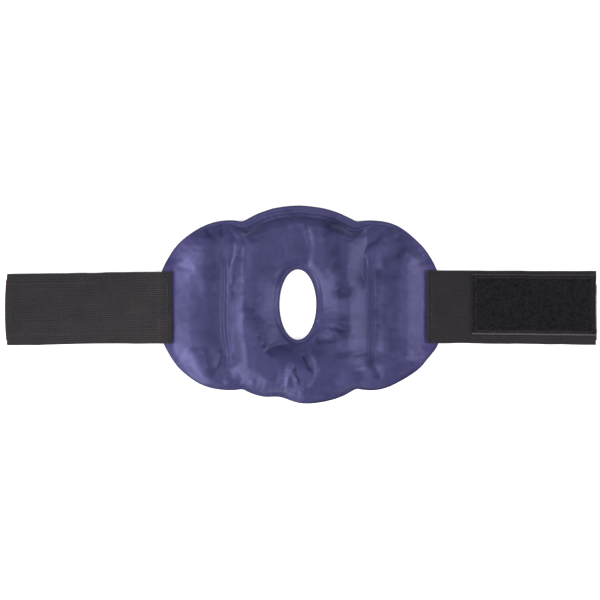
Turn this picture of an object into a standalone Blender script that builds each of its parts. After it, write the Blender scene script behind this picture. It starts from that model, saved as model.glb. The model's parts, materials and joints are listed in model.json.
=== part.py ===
"""Gel hot-and-cold wrap pad with two elastic straps, lying open on its back.

The pad is a three-lobed pouch of soft vinyl film, welded round its rim, round an oval
opening in the middle and along two short baffle welds, and filled with gel. Each baffle
weld is the line on which a side lobe folds. A ribbed elastic strap is hemmed and sewn to
the front of each end flange. The right strap carries a loop patch on its front face, and
the left strap a hook patch on its back face, so that the wrap closes round a limb.

Frame: metres, +Z up. The origin is the centre of the oval opening on the resting plane,
+X points to the right strap, +Y to the top of the pad and +Z away from the limb.
"""

import math
from collections import namedtuple

import bmesh
import bpy

MM = 0.001  # every size below is in millimetres

# ---- pad outline: arcs, mirrored in both axes --------------------------------------------
END_R, END_CX = 85.7, 41.9  # round end of each lobe
LOBE_R, LOBE_CX, LOBE_CY = 58.7, 63.0, 16.7  # shoulder of each lobe
CROWN_R, CROWN_CY = 94.7, -6.2  # top and bottom edge of the middle
SHOULDER_END_X = 107.0  # where the shoulder runs into the round end
NOTCH_X, NOTCH_Y = 50.5, 74.0  # a ray aims here, near where crown and shoulder meet

HOLE_A, HOLE_B = 16.2, 31.1  # half width and half height of the oval opening
HOLE_FLANGE = 5.0  # welded band round the opening
HOLE_WELD_A, HOLE_WELD_B = HOLE_A + HOLE_FLANGE, HOLE_B + HOLE_FLANGE
RIM_FLANGE = 6.5  # welded band round the pad
POCKET_END_X = 110.0  # the gel stops here, and the flat end flange begins
FOLD_X = 62.4  # baffle weld, which is the lobe's fold line
WELD_HALF = 2.7  # half width of the baffle weld
FOLD_GAP = 1.2  # bare hinge line each side of the fold

# ---- film and gel ------------------------------------------------------------------------
WELD_Z = 4.6  # height of the welded rim when the pad lies on its back
FILM_T = 0.6  # vinyl film
FILM_GAP = 0.15  # each film's distance from the weld plane
PUFF_FRONT = 10.0  # how far the gel swells the front film
PUFF_BACK = WELD_Z - FILM_GAP - FILM_T  # the back film swells down to the resting plane
SWELL_FRONT, SWELL_HOLE, SWELL_BACK = 19.0, 15.0, 10.0  # run-in of the swelling
SWELL_POWER = 2.2  # how steeply the swelling leaves a weld
GEL_GAP = 0.42  # height left between gel and film

# ---- meshing of the film panels ----------------------------------------------------------
LOBE_HUB_X = 88.0  # a lobe's rays start here
LOBE_CORE = 0.35  # the lobe's rings shrink towards a line this share of the pocket's height
CENTRE_SHARES = (0.07, 0.2, 0.38, 0.6, 0.8, 0.93)  # rings between pocket and opening
LOBE_SHARES = (0.12, 0.35, 0.62, 0.86)  # rings between pocket and core line
RAY_MAX, RAY_HALVINGS = 250.0, 44  # the search along a ray

# ---- straps ------------------------------------------------------------------------------
STRAP_W, STRAP_T = 63.5, 1.4  # ribbed elastic webbing
STRAP_Y = -2.2  # the straps sit a little low on the pad
STRAP_CORNER = 0.8
HEM_X, HEM_LEN = 111.6, 10.5  # folded end of the strap, sewn on the end flange
HEM_END_X = HEM_X + HEM_LEN
HEM_FOLD_STEPS = 6
STRAP_HINGE_X = 129.6  # the strap bends here, just clear of the pad's edge
BEND_GAP = 1.0  # bare webbing each side of a bend line
STRETCH_GAP = 0.6  # between the two halves of a stretching elastic
CLEAR = 0.3  # gap between pieces that touch

# ---- patches -----------------------------------------------------------------------------
PATCH_CORNER = 3.0
LOOP_T, LOOP_H, LOOP_Y = 2.0, 52.2, 0.2  # loop patch
LOOP_X0, LOOP_X1 = 153.4, 262.9
HOOK_T, HOOK_H = 1.5, 51.0  # hook patch, centred on the strap's width
HOOK_X0, HOOK_X1 = -260.0, -176.0

# ---- seams -------------------------------------------------------------------------------
THREAD_R = 0.25
THREAD_LIFT = THREAD_R + 0.1  # from a sewn face to the middle of the thread
HEM_SEAM_X = 117.0
HEM_SEAM_IN = 1.5  # the hem seam stops this far inside the strap's edges
STITCH_PITCH, STITCH_RISE = 3.2, 0.2
SEAM_IN = 3.0  # patch seams run this far inside the patch's edge
SEAM_CORNER = 0.3  # cut off each corner of a patch seam
PILE_DIP, PILE_DIP_W = 0.9, 1.3  # the loop pile is pressed down along its seam
DIP_CUT_H = 4.0  # height of the block that cuts the dip
DIP_CORE_OVERRUN = 1.0  # the core block passes the outer one by this, above and below

# ---- heights that follow from the ones above ---------------------------------------------
FLANGE_TOP = WELD_Z + FILM_GAP + FILM_T
FLANGE_BOTTOM = WELD_Z - FILM_GAP - FILM_T
HEM_LOW = FLANGE_TOP + CLEAR + STRAP_T / 2  # mid height of the tucked layer
HEM_HIGH = HEM_LOW + STRAP_T + CLEAR  # mid height of the layer on top
LOOP_TOP = STRAP_T + CLEAR + LOOP_T
DIP_FLOOR = LOOP_TOP - PILE_DIP

# The stiff end of a strap runs from its hinge (end_x, end_z) to its tip.
Side = namedtuple("Side", "word sign end_x end_z tip_x")
LEFT = Side("left", -1, end_x=157.2, end_z=HOOK_T + CLEAR + STRAP_T / 2, tip_x=260.7)
RIGHT = Side("right", 1, end_x=152.0, end_z=STRAP_T / 2, tip_x=263.5)


# ---- scene and materials -----------------------------------------------------------------
def new_collection(name):
    collection = bpy.data.collections.new(name)
    bpy.context.scene.collection.children.link(collection)
    return collection


def linear(srgb):
    """A linear RGBA colour from 0-255 sRGB."""
    shares = [channel / 255 for channel in srgb]
    return tuple(
        s / 12.92 if s <= 0.04045 else ((s + 0.055) / 1.055) ** 2.4 for s in shares
    ) + (1.0,)


def material(name, srgb, roughness):
    mat = bpy.data.materials.new(name)
    mat.use_nodes = True
    bsdf = mat.node_tree.nodes["Principled BSDF"]
    bsdf.inputs["Base Color"].default_value = linear(srgb)
    bsdf.inputs["Roughness"].default_value = roughness
    mat.diffuse_color = linear(srgb)
    return mat


for old in list(bpy.data.objects):
    bpy.data.objects.remove(old, do_unlink=True)

parts = new_collection("gel_wrap_pad")
cutters = new_collection("cutters")

VINYL = material("vinyl_film", srgb=(78, 77, 120), roughness=0.38)
VINYL_BACK = material("vinyl_film_back", srgb=(74, 73, 116), roughness=0.42)
GEL = material("gel_fill", srgb=(60, 72, 140), roughness=0.25)
ELASTIC = material("ribbed_elastic", srgb=(54, 51, 54), roughness=0.85)
LOOP = material("loop_pile", srgb=(34, 32, 36), roughness=0.95)
HOOK = material("hook_tape", srgb=(26, 26, 28), roughness=0.55)
THREAD = material("sewing_thread", srgb=(96, 92, 98), roughness=0.8)


# ---- pivots and the pieces that hang on them ---------------------------------------------
PIVOTS = {}  # name -> (empty, its place in the world in mm)


def from_pivot(point, pivot_name):
    """A world point in mm, as metres from a pivot."""
    base = PIVOTS[pivot_name][1]
    return [(c - b) * MM for c, b in zip(point, base)]


def add_pivot(name, point, parent=None):
    """An empty on a joint's axis; every piece that moves with the joint hangs on it."""
    empty = bpy.data.objects.new(name, None)
    empty.empty_display_size = 0.01
    parts.objects.link(empty)
    if parent:
        empty.parent = PIVOTS[parent][0]
        empty.location = from_pivot(point, parent)
    PIVOTS[name] = (empty, point)


def add_piece(name, data, mat, pivot_name, origin=None):
    """An object hung on a pivot, with its own origin on the pivot or at `origin`."""
    data.materials.append(mat)
    obj = bpy.data.objects.new(name, data)
    parts.objects.link(obj)
    obj.parent = PIVOTS[pivot_name][0]
    if origin:
        obj.location = from_pivot(origin, pivot_name)
    return obj


def mesh_at_pivot(name, verts, faces, pivot_name):
    """A mesh from world points in mm, with its origin on its pivot."""
    mesh = bpy.data.meshes.new(name)
    mesh.from_pydata([from_pivot(v, pivot_name) for v in verts], [], faces)
    mesh.update()
    return mesh


def smooth(mesh, angle):
    mesh.shade_smooth()
    mesh.set_sharp_from_angle(angle=math.radians(angle))


def thicken(obj, name, thickness, offset):
    shell = obj.modifiers.new(name, "SOLIDIFY")
    shell.thickness = thickness * MM
    shell.offset = offset


# ---- the pad's outline and swelling ------------------------------------------------------
def rim(x, inset=0.0):
    """Half height of the pad at x, with the outline drawn in by `inset`."""
    x = abs(x)

    def arc(radius, cx, cy):
        return cy + math.sqrt(max((radius - inset) ** 2 - (x - cx) ** 2, 0.0))

    if x < LOBE_CX:
        return max(arc(CROWN_R, 0.0, CROWN_CY), arc(LOBE_R, LOBE_CX, LOBE_CY))
    if x < SHOULDER_END_X:
        return arc(LOBE_R, LOBE_CX, LOBE_CY)
    return arc(END_R, END_CX, 0.0)


def run_in(distance, width):
    """0 at a welded edge, rising to 1 a given width inside it."""
    share = min(max(distance / width, 0.0), 1.0)
    return 1.0 - (1.0 - share) ** SWELL_POWER


def hole_distance(x, y):
    """Distance outside the pocket's edge round the oval opening, near enough."""
    scale = math.hypot(x / HOLE_WELD_A, y / HOLE_WELD_B)
    return (scale - 1.0) * math.hypot(x, y) / max(scale, 1e-6)


def swelling(x, y, width, hole_width):
    """Share of the full swelling at a point of the front or back film."""
    x_out = abs(x)
    share = run_in(rim(x, RIM_FLANGE) - abs(y), width)
    share *= run_in(abs(x_out - FOLD_X) - WELD_HALF, width)
    if x_out < FOLD_X:
        share *= run_in(hole_distance(x, y), hole_width)
    else:
        share *= run_in(POCKET_END_X - x_out, width)
    return share


def front_z(x, y):
    """Height of the front film's inner face."""
    return WELD_Z + FILM_GAP + PUFF_FRONT * swelling(x, y, SWELL_FRONT, SWELL_HOLE)


def back_z(x, y):
    """Height of the back film's inner face."""
    return WELD_Z - FILM_GAP - PUFF_BACK * swelling(x, y, SWELL_BACK, SWELL_BACK)


# ---- rings of points over a panel --------------------------------------------------------
def reach(cx, angle, inside):
    """How far a ray from (cx, 0) runs before it leaves a region."""
    low, high = 0.0, RAY_MAX
    for _ in range(RAY_HALVINGS):
        mid = (low + high) / 2
        if inside(cx + mid * math.cos(angle), mid * math.sin(angle)):
            low = mid
        else:
            high = mid
    return low


def ring(cx, angles, inside):
    """The points where rays from (cx, 0) leave a region."""
    points = []
    for angle in angles:
        length = reach(cx, angle, inside)
        points.append((cx + length * math.cos(angle), length * math.sin(angle)))
    return points


def between(ring_a, ring_b, share):
    return [
        (ax + (bx - ax) * share, ay + (by - ay) * share)
        for (ax, ay), (bx, by) in zip(ring_a, ring_b)
    ]


def steps(start, end, count):
    """Even steps from start, stopping one short of end."""
    return [start + (end - start) * i / count for i in range(count)]


def centre_rings():
    """Rings of the middle panel, from its outer edge in to the oval opening."""
    edge_x = FOLD_X - FOLD_GAP
    edge_y = rim(edge_x)
    corner = math.atan2(edge_y, edge_x)
    notch = math.atan2(NOTCH_Y, NOTCH_X)
    top = math.pi / 2
    quarter = [math.atan2(edge_y * i / 7, edge_x) for i in range(7)]
    quarter += steps(corner, notch, 2) + steps(notch, top, 7)
    back_down = quarter[:0:-1]  # the quarter again in reverse, without its zero
    angles = quarter + [top] + [math.pi - a for a in back_down]
    angles += [math.pi + a for a in quarter] + [math.pi + top]
    angles += [2 * math.pi - a for a in back_down]

    def in_panel(x, y):
        return abs(x) < edge_x and abs(y) < rim(x)

    def in_pocket(x, y):
        return abs(x) < FOLD_X - WELD_HALF and abs(y) < rim(x, RIM_FLANGE)

    def in_hole_weld(x, y):
        return math.hypot(x / HOLE_WELD_A, y / HOLE_WELD_B) < 1

    def in_hole(x, y):
        return math.hypot(x / HOLE_A, y / HOLE_B) < 1

    outer, pocket, inner, hole = [
        ring(0.0, angles, inside) for inside in (in_panel, in_pocket, in_hole_weld, in_hole)
    ]
    return [outer, pocket] + [between(pocket, inner, s) for s in CENTRE_SHARES] + [inner, hole]


def lobe_rings(sign):
    """Rings of a side lobe, from its outer edge inwards, and the hub point inside them."""
    edge_x = FOLD_X + FOLD_GAP
    edge_y = rim(edge_x)
    corner_in = math.atan2(edge_y, edge_x - LOBE_HUB_X)
    corner_out = math.atan2(rim(SHOULDER_END_X), SHOULDER_END_X - LOBE_HUB_X)
    half = steps(0.0, corner_out, 7) + steps(corner_out, corner_in, 6)
    half += [math.atan2(edge_y * (1 - i / 7), edge_x - LOBE_HUB_X) for i in range(7)]
    angles = half + [math.pi] + [2 * math.pi - a for a in half[:0:-1]]

    def in_panel(x, y):
        return edge_x < x < END_CX + END_R and abs(y) < rim(x)

    def in_pocket(x, y):
        return FOLD_X + WELD_HALF < x < POCKET_END_X and abs(y) < rim(x, RIM_FLANGE)

    outer = ring(LOBE_HUB_X, angles, in_panel)
    pocket = ring(LOBE_HUB_X, angles, in_pocket)
    core = [(LOBE_HUB_X, LOBE_CORE * y) for _, y in pocket]
    rings = [outer, pocket] + [between(pocket, core, s) for s in LOBE_SHARES]
    if sign < 0:  # mirrored, and turned round so that every ring still runs anticlockwise
        rings = [[(-x, y) for x, y in reversed(r)] for r in rings]
    return rings, (sign * LOBE_HUB_X, 0.0)


# ---- film and gel ------------------------------------------------------------------------
def loft(rings, hub, height):
    """Points and upward faces of a sheet over the rings, closed at the hub if there is one."""
    count = len(rings[0])
    verts = [(x, y, height(x, y)) for r in rings for x, y in r]
    faces = []
    for k in range(len(rings) - 1):
        here, inward = k * count, (k + 1) * count
        for i in range(count):
            j = (i + 1) % count
            faces.append((here + i, here + j, inward + j, inward + i))
    if hub:
        last = (len(rings) - 1) * count
        faces += [(last + i, last + (i + 1) % count, len(verts)) for i in range(count)]
        verts.append((*hub, height(*hub)))
    return verts, faces


def film(name, rings, hub, height, up, mat, pivot_name):
    """One film panel, thickened away from the gel."""
    verts, faces = loft(rings, hub, height)
    if not up:
        faces = [tuple(reversed(f)) for f in faces]
    mesh = mesh_at_pivot(name, verts, faces, pivot_name)
    smooth(mesh, angle=50)
    obj = add_piece(name, mesh, mat, pivot_name)
    thicken(obj, "film thickness", FILM_T, offset=1.0)


def gel(name, rings, hub, pivot_name):
    """The gel between two film panels, a little inside both films and their welds."""
    rings = rings[2:] if hub else rings[2:-2]
    verts, faces = loft(rings, hub, lambda x, y: front_z(x, y) - GEL_GAP)
    back_verts, _ = loft(rings, hub, lambda x, y: back_z(x, y) + GEL_GAP)
    back = len(verts)
    faces += [tuple(back + v for v in reversed(f)) for f in faces]
    verts += back_verts

    count = len(rings[0])
    last = (len(rings) - 1) * count
    for i in range(count):
        j = (i + 1) % count
        faces.append((i, back + i, back + j, j))
        if not hub:  # the wall round the opening
            faces.append((last + j, back + last + j, back + last + i, last + i))
    mesh = mesh_at_pivot(name, verts, faces, pivot_name)
    smooth(mesh, angle=50)
    add_piece(name, mesh, GEL, pivot_name)


def panel(word, rings, hub, pivot_name):
    """Front film, back film and gel of the middle or of a lobe."""
    film("front_film_" + word, rings, hub, front_z, True, VINYL, pivot_name)
    film("back_film_" + word, rings, hub, back_z, False, VINYL_BACK, pivot_name)
    gel("gel_" + word, rings, hub, pivot_name)


# ---- flat sewn goods ---------------------------------------------------------------------
def webbing(name, path, pivot_name):
    """A line in the XZ plane swept across the strap's width, then thickened."""
    verts, faces = [], []
    for x, z in path:
        verts += [(x, STRAP_Y - STRAP_W / 2, z), (x, STRAP_Y + STRAP_W / 2, z)]
    for i in range(len(path) - 1):
        faces.append((2 * i, 2 * i + 2, 2 * i + 3, 2 * i + 1))
    mesh = mesh_at_pivot(name, verts, faces, pivot_name)
    obj = add_piece(name, mesh, ELASTIC, pivot_name)
    thicken(obj, "webbing thickness", STRAP_T, offset=0.0)


def box_bmesh(length, width, height):
    bm = bmesh.new()
    bmesh.ops.create_cube(bm, size=1.0)
    bmesh.ops.scale(bm, vec=(length * MM, width * MM, height * MM), verts=bm.verts)
    return bm


def mesh_of(bm, name):
    mesh = bpy.data.meshes.new(name)
    bm.to_mesh(mesh)
    bm.free()
    return mesh


def patch(name, x0, x1, y, z, width, thickness, mat, pivot_name, corner=PATCH_CORNER):
    """A flat patch with rounded corners, centred on y and z."""
    bm = box_bmesh(abs(x1 - x0), width, thickness)
    upright = [
        e for e in bm.edges if abs(e.verts[0].co.z - e.verts[1].co.z) > thickness * MM / 2
    ]
    bmesh.ops.bevel(
        bm, geom=upright, offset=corner * MM, segments=4, profile=0.5, affect="EDGES"
    )
    mesh = mesh_of(bm, name)
    smooth(mesh, angle=35)
    return add_piece(name, mesh, mat, pivot_name, origin=((x0 + x1) / 2, y, z))


def cut(obj, cutter):
    knife = obj.modifiers.new("cut by " + cutter.name, "BOOLEAN")
    knife.operation = "DIFFERENCE"
    knife.solver = "EXACT"
    knife.object = cutter


# ---- seams -------------------------------------------------------------------------------
def thread(name, points, pivot_name, closed=False):
    """A round wire along a line of points."""
    curve = bpy.data.curves.new(name, "CURVE")
    curve.dimensions = "3D"
    curve.bevel_depth = THREAD_R * MM
    curve.bevel_resolution = 1
    curve.use_fill_caps = True
    spline = curve.splines.new("POLY")
    spline.points.add(len(points) - 1)
    for spline_point, point in zip(spline.points, points):
        spline_point.co = from_pivot(point, pivot_name) + [1.0]
    spline.use_cyclic_u = closed
    add_piece(name, curve, THREAD, pivot_name)


def hem_thread(name, side, z, rise):
    """A row of stitches across the strap, each bowed by `rise` in its middle."""
    start = STRAP_Y - STRAP_W / 2 + HEM_SEAM_IN
    length = STRAP_W - 2 * HEM_SEAM_IN
    count = 2 * round(length / STITCH_PITCH)
    points = [
        (side.sign * HEM_SEAM_X, start + length * i / count, z + (rise if i % 2 else 0.0))
        for i in range(count + 1)
    ]
    thread(name, points, side.word + "_lobe_axis")


def patch_thread(name, x0, x1, y, height, z, pivot_name):
    """A seam round a patch, with its corners cut off."""
    x0, x1 = x0 + SEAM_IN, x1 - SEAM_IN
    y0, y1 = y - height / 2 + SEAM_IN, y + height / 2 - SEAM_IN
    c = SEAM_CORNER
    outline = [
        (x0 + c, y0), (x1 - c, y0), (x1, y0 + c), (x1, y1 - c),
        (x1 - c, y1), (x0 + c, y1), (x0, y1 - c), (x0, y0 + c),
    ]
    thread(name, [(x, y, z) for x, y in outline], pivot_name, closed=True)


# ---- the straps --------------------------------------------------------------------------
def strap_middle(side):
    """X (unsigned) and Z of the point halfway between a strap's two hinges."""
    return (STRAP_HINGE_X + side.end_x) / 2, (HEM_LOW + side.end_z) / 2


def side_pivots(side):
    """The chain of joints from the lobe's fold to the strap's stiff end."""
    lobe, strap, stretch, end = [
        f"{side.word}_{joint}_axis" for joint in ("lobe", "strap", "stretch", "end")
    ]
    half_x, half_z = strap_middle(side)
    add_pivot(lobe, (side.sign * FOLD_X, 0.0, WELD_Z), "pad_centre_origin")
    add_pivot(strap, (side.sign * STRAP_HINGE_X, STRAP_Y, HEM_LOW), lobe)
    add_pivot(stretch, (side.sign * half_x, STRAP_Y, half_z), strap)
    add_pivot(end, (side.sign * side.end_x, STRAP_Y, side.end_z), stretch)


def strap_hem(side):
    """The strap's end, tucked under itself, with both layers sewn to the flange."""
    fold_r = (HEM_HIGH - HEM_LOW) / 2
    fold_x = HEM_X + fold_r + STRAP_T / 2
    fold_z = (HEM_LOW + HEM_HIGH) / 2
    path = [(HEM_END_X, HEM_LOW)]
    for i in range(HEM_FOLD_STEPS + 1):
        angle = math.pi * i / HEM_FOLD_STEPS
        path.append((fold_x - fold_r * math.sin(angle), fold_z - fold_r * math.cos(angle)))
    path += [  # the top layer steps down past the tucked end and runs to the hinge
        (HEM_END_X - 0.5, HEM_HIGH),
        (HEM_END_X + 2.6, HEM_LOW + 0.35),
        (HEM_END_X + 4.0, HEM_LOW),
        (STRAP_HINGE_X - BEND_GAP, HEM_LOW),
    ]
    path = [(side.sign * x, z) for x, z in path]
    webbing(side.word + "_strap_hem", path, side.word + "_lobe_axis")
    top = HEM_HIGH + STRAP_T / 2 + THREAD_LIFT
    hem_thread(side.word + "_hem_needle_thread", side, top, STITCH_RISE)
    bottom = FLANGE_BOTTOM - THREAD_LIFT
    hem_thread(side.word + "_hem_bobbin_thread", side, bottom, -STITCH_RISE)


def elastic(side):
    """The elastic between pad and stiff end, in two halves that part as it stretches."""
    slope = (side.end_z - HEM_LOW) / (side.end_x - STRAP_HINGE_X)
    half_x, _ = strap_middle(side)
    halves = (
        ("inner", STRAP_HINGE_X + BEND_GAP, half_x - STRETCH_GAP / 2, "_strap_axis"),
        ("outer", half_x + STRETCH_GAP / 2, side.end_x - BEND_GAP, "_stretch_axis"),
    )
    for half, x0, x1, joint in halves:
        path = [(side.sign * x, HEM_LOW + slope * (x - STRAP_HINGE_X)) for x in (x0, x1)]
        webbing(f"{side.word}_elastic_{half}", path, side.word + joint)


def strap_end(side):
    """The stiff end of the strap, which carries its hook or loop patch."""
    patch(
        side.word + "_strap_end",
        side.sign * (side.end_x + BEND_GAP), side.sign * side.tip_x,
        y=STRAP_Y, z=side.end_z, width=STRAP_W, thickness=STRAP_T,
        mat=ELASTIC, pivot_name=side.word + "_end_axis", corner=STRAP_CORNER,
    )


# ---- the patches -------------------------------------------------------------------------
def dip_block(name, grow, overrun):
    """A block that only cuts, bounded by the loop patch's seam line grown by `grow`."""
    length = LOOP_X1 - LOOP_X0 - 2 * SEAM_IN + 2 * grow
    width = LOOP_H - 2 * SEAM_IN + 2 * grow
    mesh = mesh_of(box_bmesh(length, width, DIP_CUT_H + 2 * overrun), name)
    block = bpy.data.objects.new(name, mesh)
    cutters.objects.link(block)
    centre = ((LOOP_X0 + LOOP_X1) / 2, LOOP_Y, DIP_FLOOR + DIP_CUT_H / 2)
    block.location = [c * MM for c in centre]
    block.hide_render = True
    block.display_type = "WIRE"
    return block


def loop_patch():
    """The loop patch on the right strap's front face, dipped along its seam."""
    pile = patch(
        "loop_patch", LOOP_X0, LOOP_X1,
        y=LOOP_Y, z=LOOP_TOP - LOOP_T / 2, width=LOOP_H, thickness=LOOP_T,
        mat=LOOP, pivot_name="right_end_axis",
    )
    frame = dip_block("seam_dip_outer", grow=PILE_DIP_W / 2, overrun=0.0)
    core = dip_block("seam_dip_inner", grow=-PILE_DIP_W / 2, overrun=DIP_CORE_OVERRUN)
    cut(frame, core)
    cut(pile, frame)
    patch_thread(
        "loop_patch_thread", LOOP_X0, LOOP_X1,
        y=LOOP_Y, height=LOOP_H, z=DIP_FLOOR + THREAD_LIFT, pivot_name="right_end_axis",
    )


def hook_patch():
    """The hook patch on the left strap's back face; its seam shows on the strap's front."""
    patch(
        "hook_patch", HOOK_X0, HOOK_X1,
        y=STRAP_Y, z=HOOK_T / 2, width=HOOK_H, thickness=HOOK_T,
        mat=HOOK, pivot_name="left_end_axis",
    )
    patch_thread(
        "hook_patch_thread", HOOK_X0, HOOK_X1,
        y=STRAP_Y, height=HOOK_H, z=LEFT.end_z + STRAP_T / 2 + THREAD_LIFT,
        pivot_name="left_end_axis",
    )


# ---- build -------------------------------------------------------------------------------
add_pivot("pad_centre_origin", (0.0, 0.0, 0.0))
panel("centre", centre_rings(), None, "pad_centre_origin")
for strap_side in (LEFT, RIGHT):
    side_pivots(strap_side)
    panel(strap_side.word, *lobe_rings(strap_side.sign), strap_side.word + "_lobe_axis")
    strap_hem(strap_side)
    elastic(strap_side)
    strap_end(strap_side)
loop_patch()
hook_patch()
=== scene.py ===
"""Looks for the gel wrap pad: satin vinyl films puffed and creased over gel, ribbed elastic
straps, loop pile, hook tape and stitching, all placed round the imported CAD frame.

Lengths in this file are millimetres and become metres when a mesh is made.
"""

import json
import math

import bpy
import numpy as np
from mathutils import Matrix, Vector


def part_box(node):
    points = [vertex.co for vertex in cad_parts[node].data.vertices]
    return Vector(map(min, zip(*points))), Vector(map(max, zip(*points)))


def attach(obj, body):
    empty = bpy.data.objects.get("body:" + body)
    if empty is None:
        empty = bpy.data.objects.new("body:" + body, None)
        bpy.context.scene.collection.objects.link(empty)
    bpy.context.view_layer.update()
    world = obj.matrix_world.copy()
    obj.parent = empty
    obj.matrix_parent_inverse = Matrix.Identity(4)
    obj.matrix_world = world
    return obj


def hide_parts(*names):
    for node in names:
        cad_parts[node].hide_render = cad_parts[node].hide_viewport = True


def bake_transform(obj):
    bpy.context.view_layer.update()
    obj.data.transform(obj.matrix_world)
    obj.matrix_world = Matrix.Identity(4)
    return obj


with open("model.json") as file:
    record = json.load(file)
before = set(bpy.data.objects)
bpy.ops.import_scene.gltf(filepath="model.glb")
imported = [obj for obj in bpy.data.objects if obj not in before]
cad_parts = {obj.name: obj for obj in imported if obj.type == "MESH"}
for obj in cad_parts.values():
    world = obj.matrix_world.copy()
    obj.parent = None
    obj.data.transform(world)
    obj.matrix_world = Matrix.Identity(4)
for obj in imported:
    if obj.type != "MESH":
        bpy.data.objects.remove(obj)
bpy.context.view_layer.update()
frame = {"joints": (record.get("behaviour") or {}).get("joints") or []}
bpy.context.scene.view_settings.view_transform = "Standard"

MM = 0.001

# ---- places taken from the frame ---------------------------------------------------------
JOINTS = {j["name"]: j for j in frame["joints"]}


def anchor(joint):
    return [c * 1000 for c in JOINTS[joint]["pos_m"]]


def box(node):
    low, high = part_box(node)
    return [c * 1000 for c in low], [c * 1000 for c in high]


FOLD_X, _, WELD_Z = anchor("right_lobe_fold")
END_REACH = box("front_film_right")[1][0]
CROWN = box("front_film_centre")[1][1]
FILM_T, FILM_GAP = 0.6, 0.15
FRONT_FLANGE = WELD_Z + FILM_GAP + FILM_T
BACK_FLANGE = WELD_Z - FILM_GAP - FILM_T
PAD_TOP = box("front_film_centre")[1][2]

# the pad's outline, as arcs
END_R = 85.7
END_CX = END_REACH - END_R
LOBE_R, LOBE_CX, LOBE_CY = 58.7, 63.0, 16.7
CROWN_R = 94.7
CROWN_CY = CROWN - CROWN_R
SHOULDER_END = 107.0
HOLE_A, HOLE_B = 16.2, 31.1
RIM_FLANGE = 6.5
POCKET_END = 112.0
WELD_HALF = 2.7


# ---- numbers ------------------------------------------------------------------------------
def sstep(t):
    t = np.clip(t, 0.0, 1.0)
    return t * t * (3.0 - 2.0 * t)


def ease(t, power):
    return 1.0 - (1.0 - np.clip(t, 0.0, 1.0)) ** power


def noise2(x, y, seed):
    """Smooth value noise, -1 to 1, one cell to the unit."""
    table = np.random.RandomState(seed).rand(64, 64) * 2.0 - 1.0
    x, y = np.asarray(x, float), np.asarray(y, float)
    xi, yi = np.floor(x).astype(int), np.floor(y).astype(int)
    fx, fy = x - xi, y - yi
    u = fx**3 * (fx * (fx * 6 - 15) + 10)
    v = fy**3 * (fy * (fy * 6 - 15) + 10)
    a, b = table[xi % 64, yi % 64], table[(xi + 1) % 64, yi % 64]
    c, d = table[xi % 64, (yi + 1) % 64], table[(xi + 1) % 64, (yi + 1) % 64]
    return (a + (b - a) * u) * (1 - v) + (c + (d - c) * u) * v


def spline(points, per=8):
    """A smooth curve through a few points."""
    p = np.array(points, float)
    if len(p) == 2:
        t = np.linspace(0, 1, per + 1)[:, None]
        return p[0] * (1 - t) + p[1] * t
    q = np.vstack([2 * p[0] - p[1], p, 2 * p[-1] - p[-2]])
    out = []
    for i in range(1, len(q) - 2):
        for t in np.arange(per) / per:
            out.append(
                0.5
                * (
                    2 * q[i]
                    + (q[i + 1] - q[i - 1]) * t
                    + (2 * q[i - 1] - 5 * q[i] + 4 * q[i + 1] - q[i + 2]) * t * t
                    + (3 * q[i] - q[i - 1] - 3 * q[i + 1] + q[i + 2]) * t**3
                )
            )
    out.append(p[-1])
    return np.array(out)


# ---- the pad's outline --------------------------------------------------------------------
def half_height(x):
    """Half height of the pad at x, its notches a little rounded."""
    x = np.abs(x)

    def arc(r, cx, cy):
        return cy + np.sqrt(np.maximum(r * r - (x - cx) ** 2, 0.0))

    crown, lobe = arc(CROWN_R, 0.0, CROWN_CY), arc(LOBE_R, LOBE_CX, LOBE_CY)
    k = 2.2
    blend = np.maximum(k - np.abs(crown - lobe), 0.0) / k
    middle = np.maximum(crown, lobe) + blend * blend * k / 4.0
    end = arc(END_R, END_CX, 0.0)
    out = np.where(x < LOBE_CX, middle, np.where(x < SHOULDER_END, lobe, end))
    return np.where(x < END_REACH, out, -1.0)


def reach(angle):
    """How far a ray from the origin runs to the outline."""
    lo, hi = np.full(angle.shape, 20.0), np.full(angle.shape, 200.0)
    for _ in range(46):
        mid = (lo + hi) / 2
        inside = np.abs(mid * np.sin(angle)) < half_height(mid * np.cos(angle))
        lo, hi = np.where(inside, mid, lo), np.where(inside, hi, mid)
    return lo


# the bottom edge is drawn in where the film puckers, left of the middle
DRAW_X = np.array([-48, -42, -36, -29, -23, -18.5, -13, -7, 0, 8, 18, 30.0])
DRAW_Y = np.array([0.0, -0.2, -0.9, -2.5, -4.6, -5.6, -5.0, -3.3, -1.5, -0.7, -0.4, 0.0])


# the outline isn't quite symmetrical: (direction in degrees, how far out, how wide in degrees)
EDGE_BUMPS = ((-16.4, 2.3, 4.5), (-36, -1.6, 7.0), (145, -1.3, 8.0), (31, -1.3, 7.0))
HOLE_X, HOLE_Y = -1.5, 0.6  # the opening sits a little off the middle


def edge_offset(x, y):
    """How far the real edge stands out from the arcs (in if negative)."""
    bottom = sum(np.interp(x + d, DRAW_X, DRAW_Y) for d in (-3.6, -2.4, -1.2, 0.0, 1.2, 2.4, 3.6)) / 7 * sstep((-y - 40) / 20)
    a = np.arctan2(y, x)
    free = sstep((np.abs(y) - 36) / 14)
    wave = 0.32 * noise2(a * 7.0 + 20, 0 * a + 3.3, 11) + 0.10 * noise2(a * 12.0 + 40, 0 * a + 8.1, 12)
    for at, amount, wide in EDGE_BUMPS:
        bottom = bottom + amount * np.exp(-(((np.degrees(a) - at) / wide) ** 2))
    return bottom + wave * free


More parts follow.
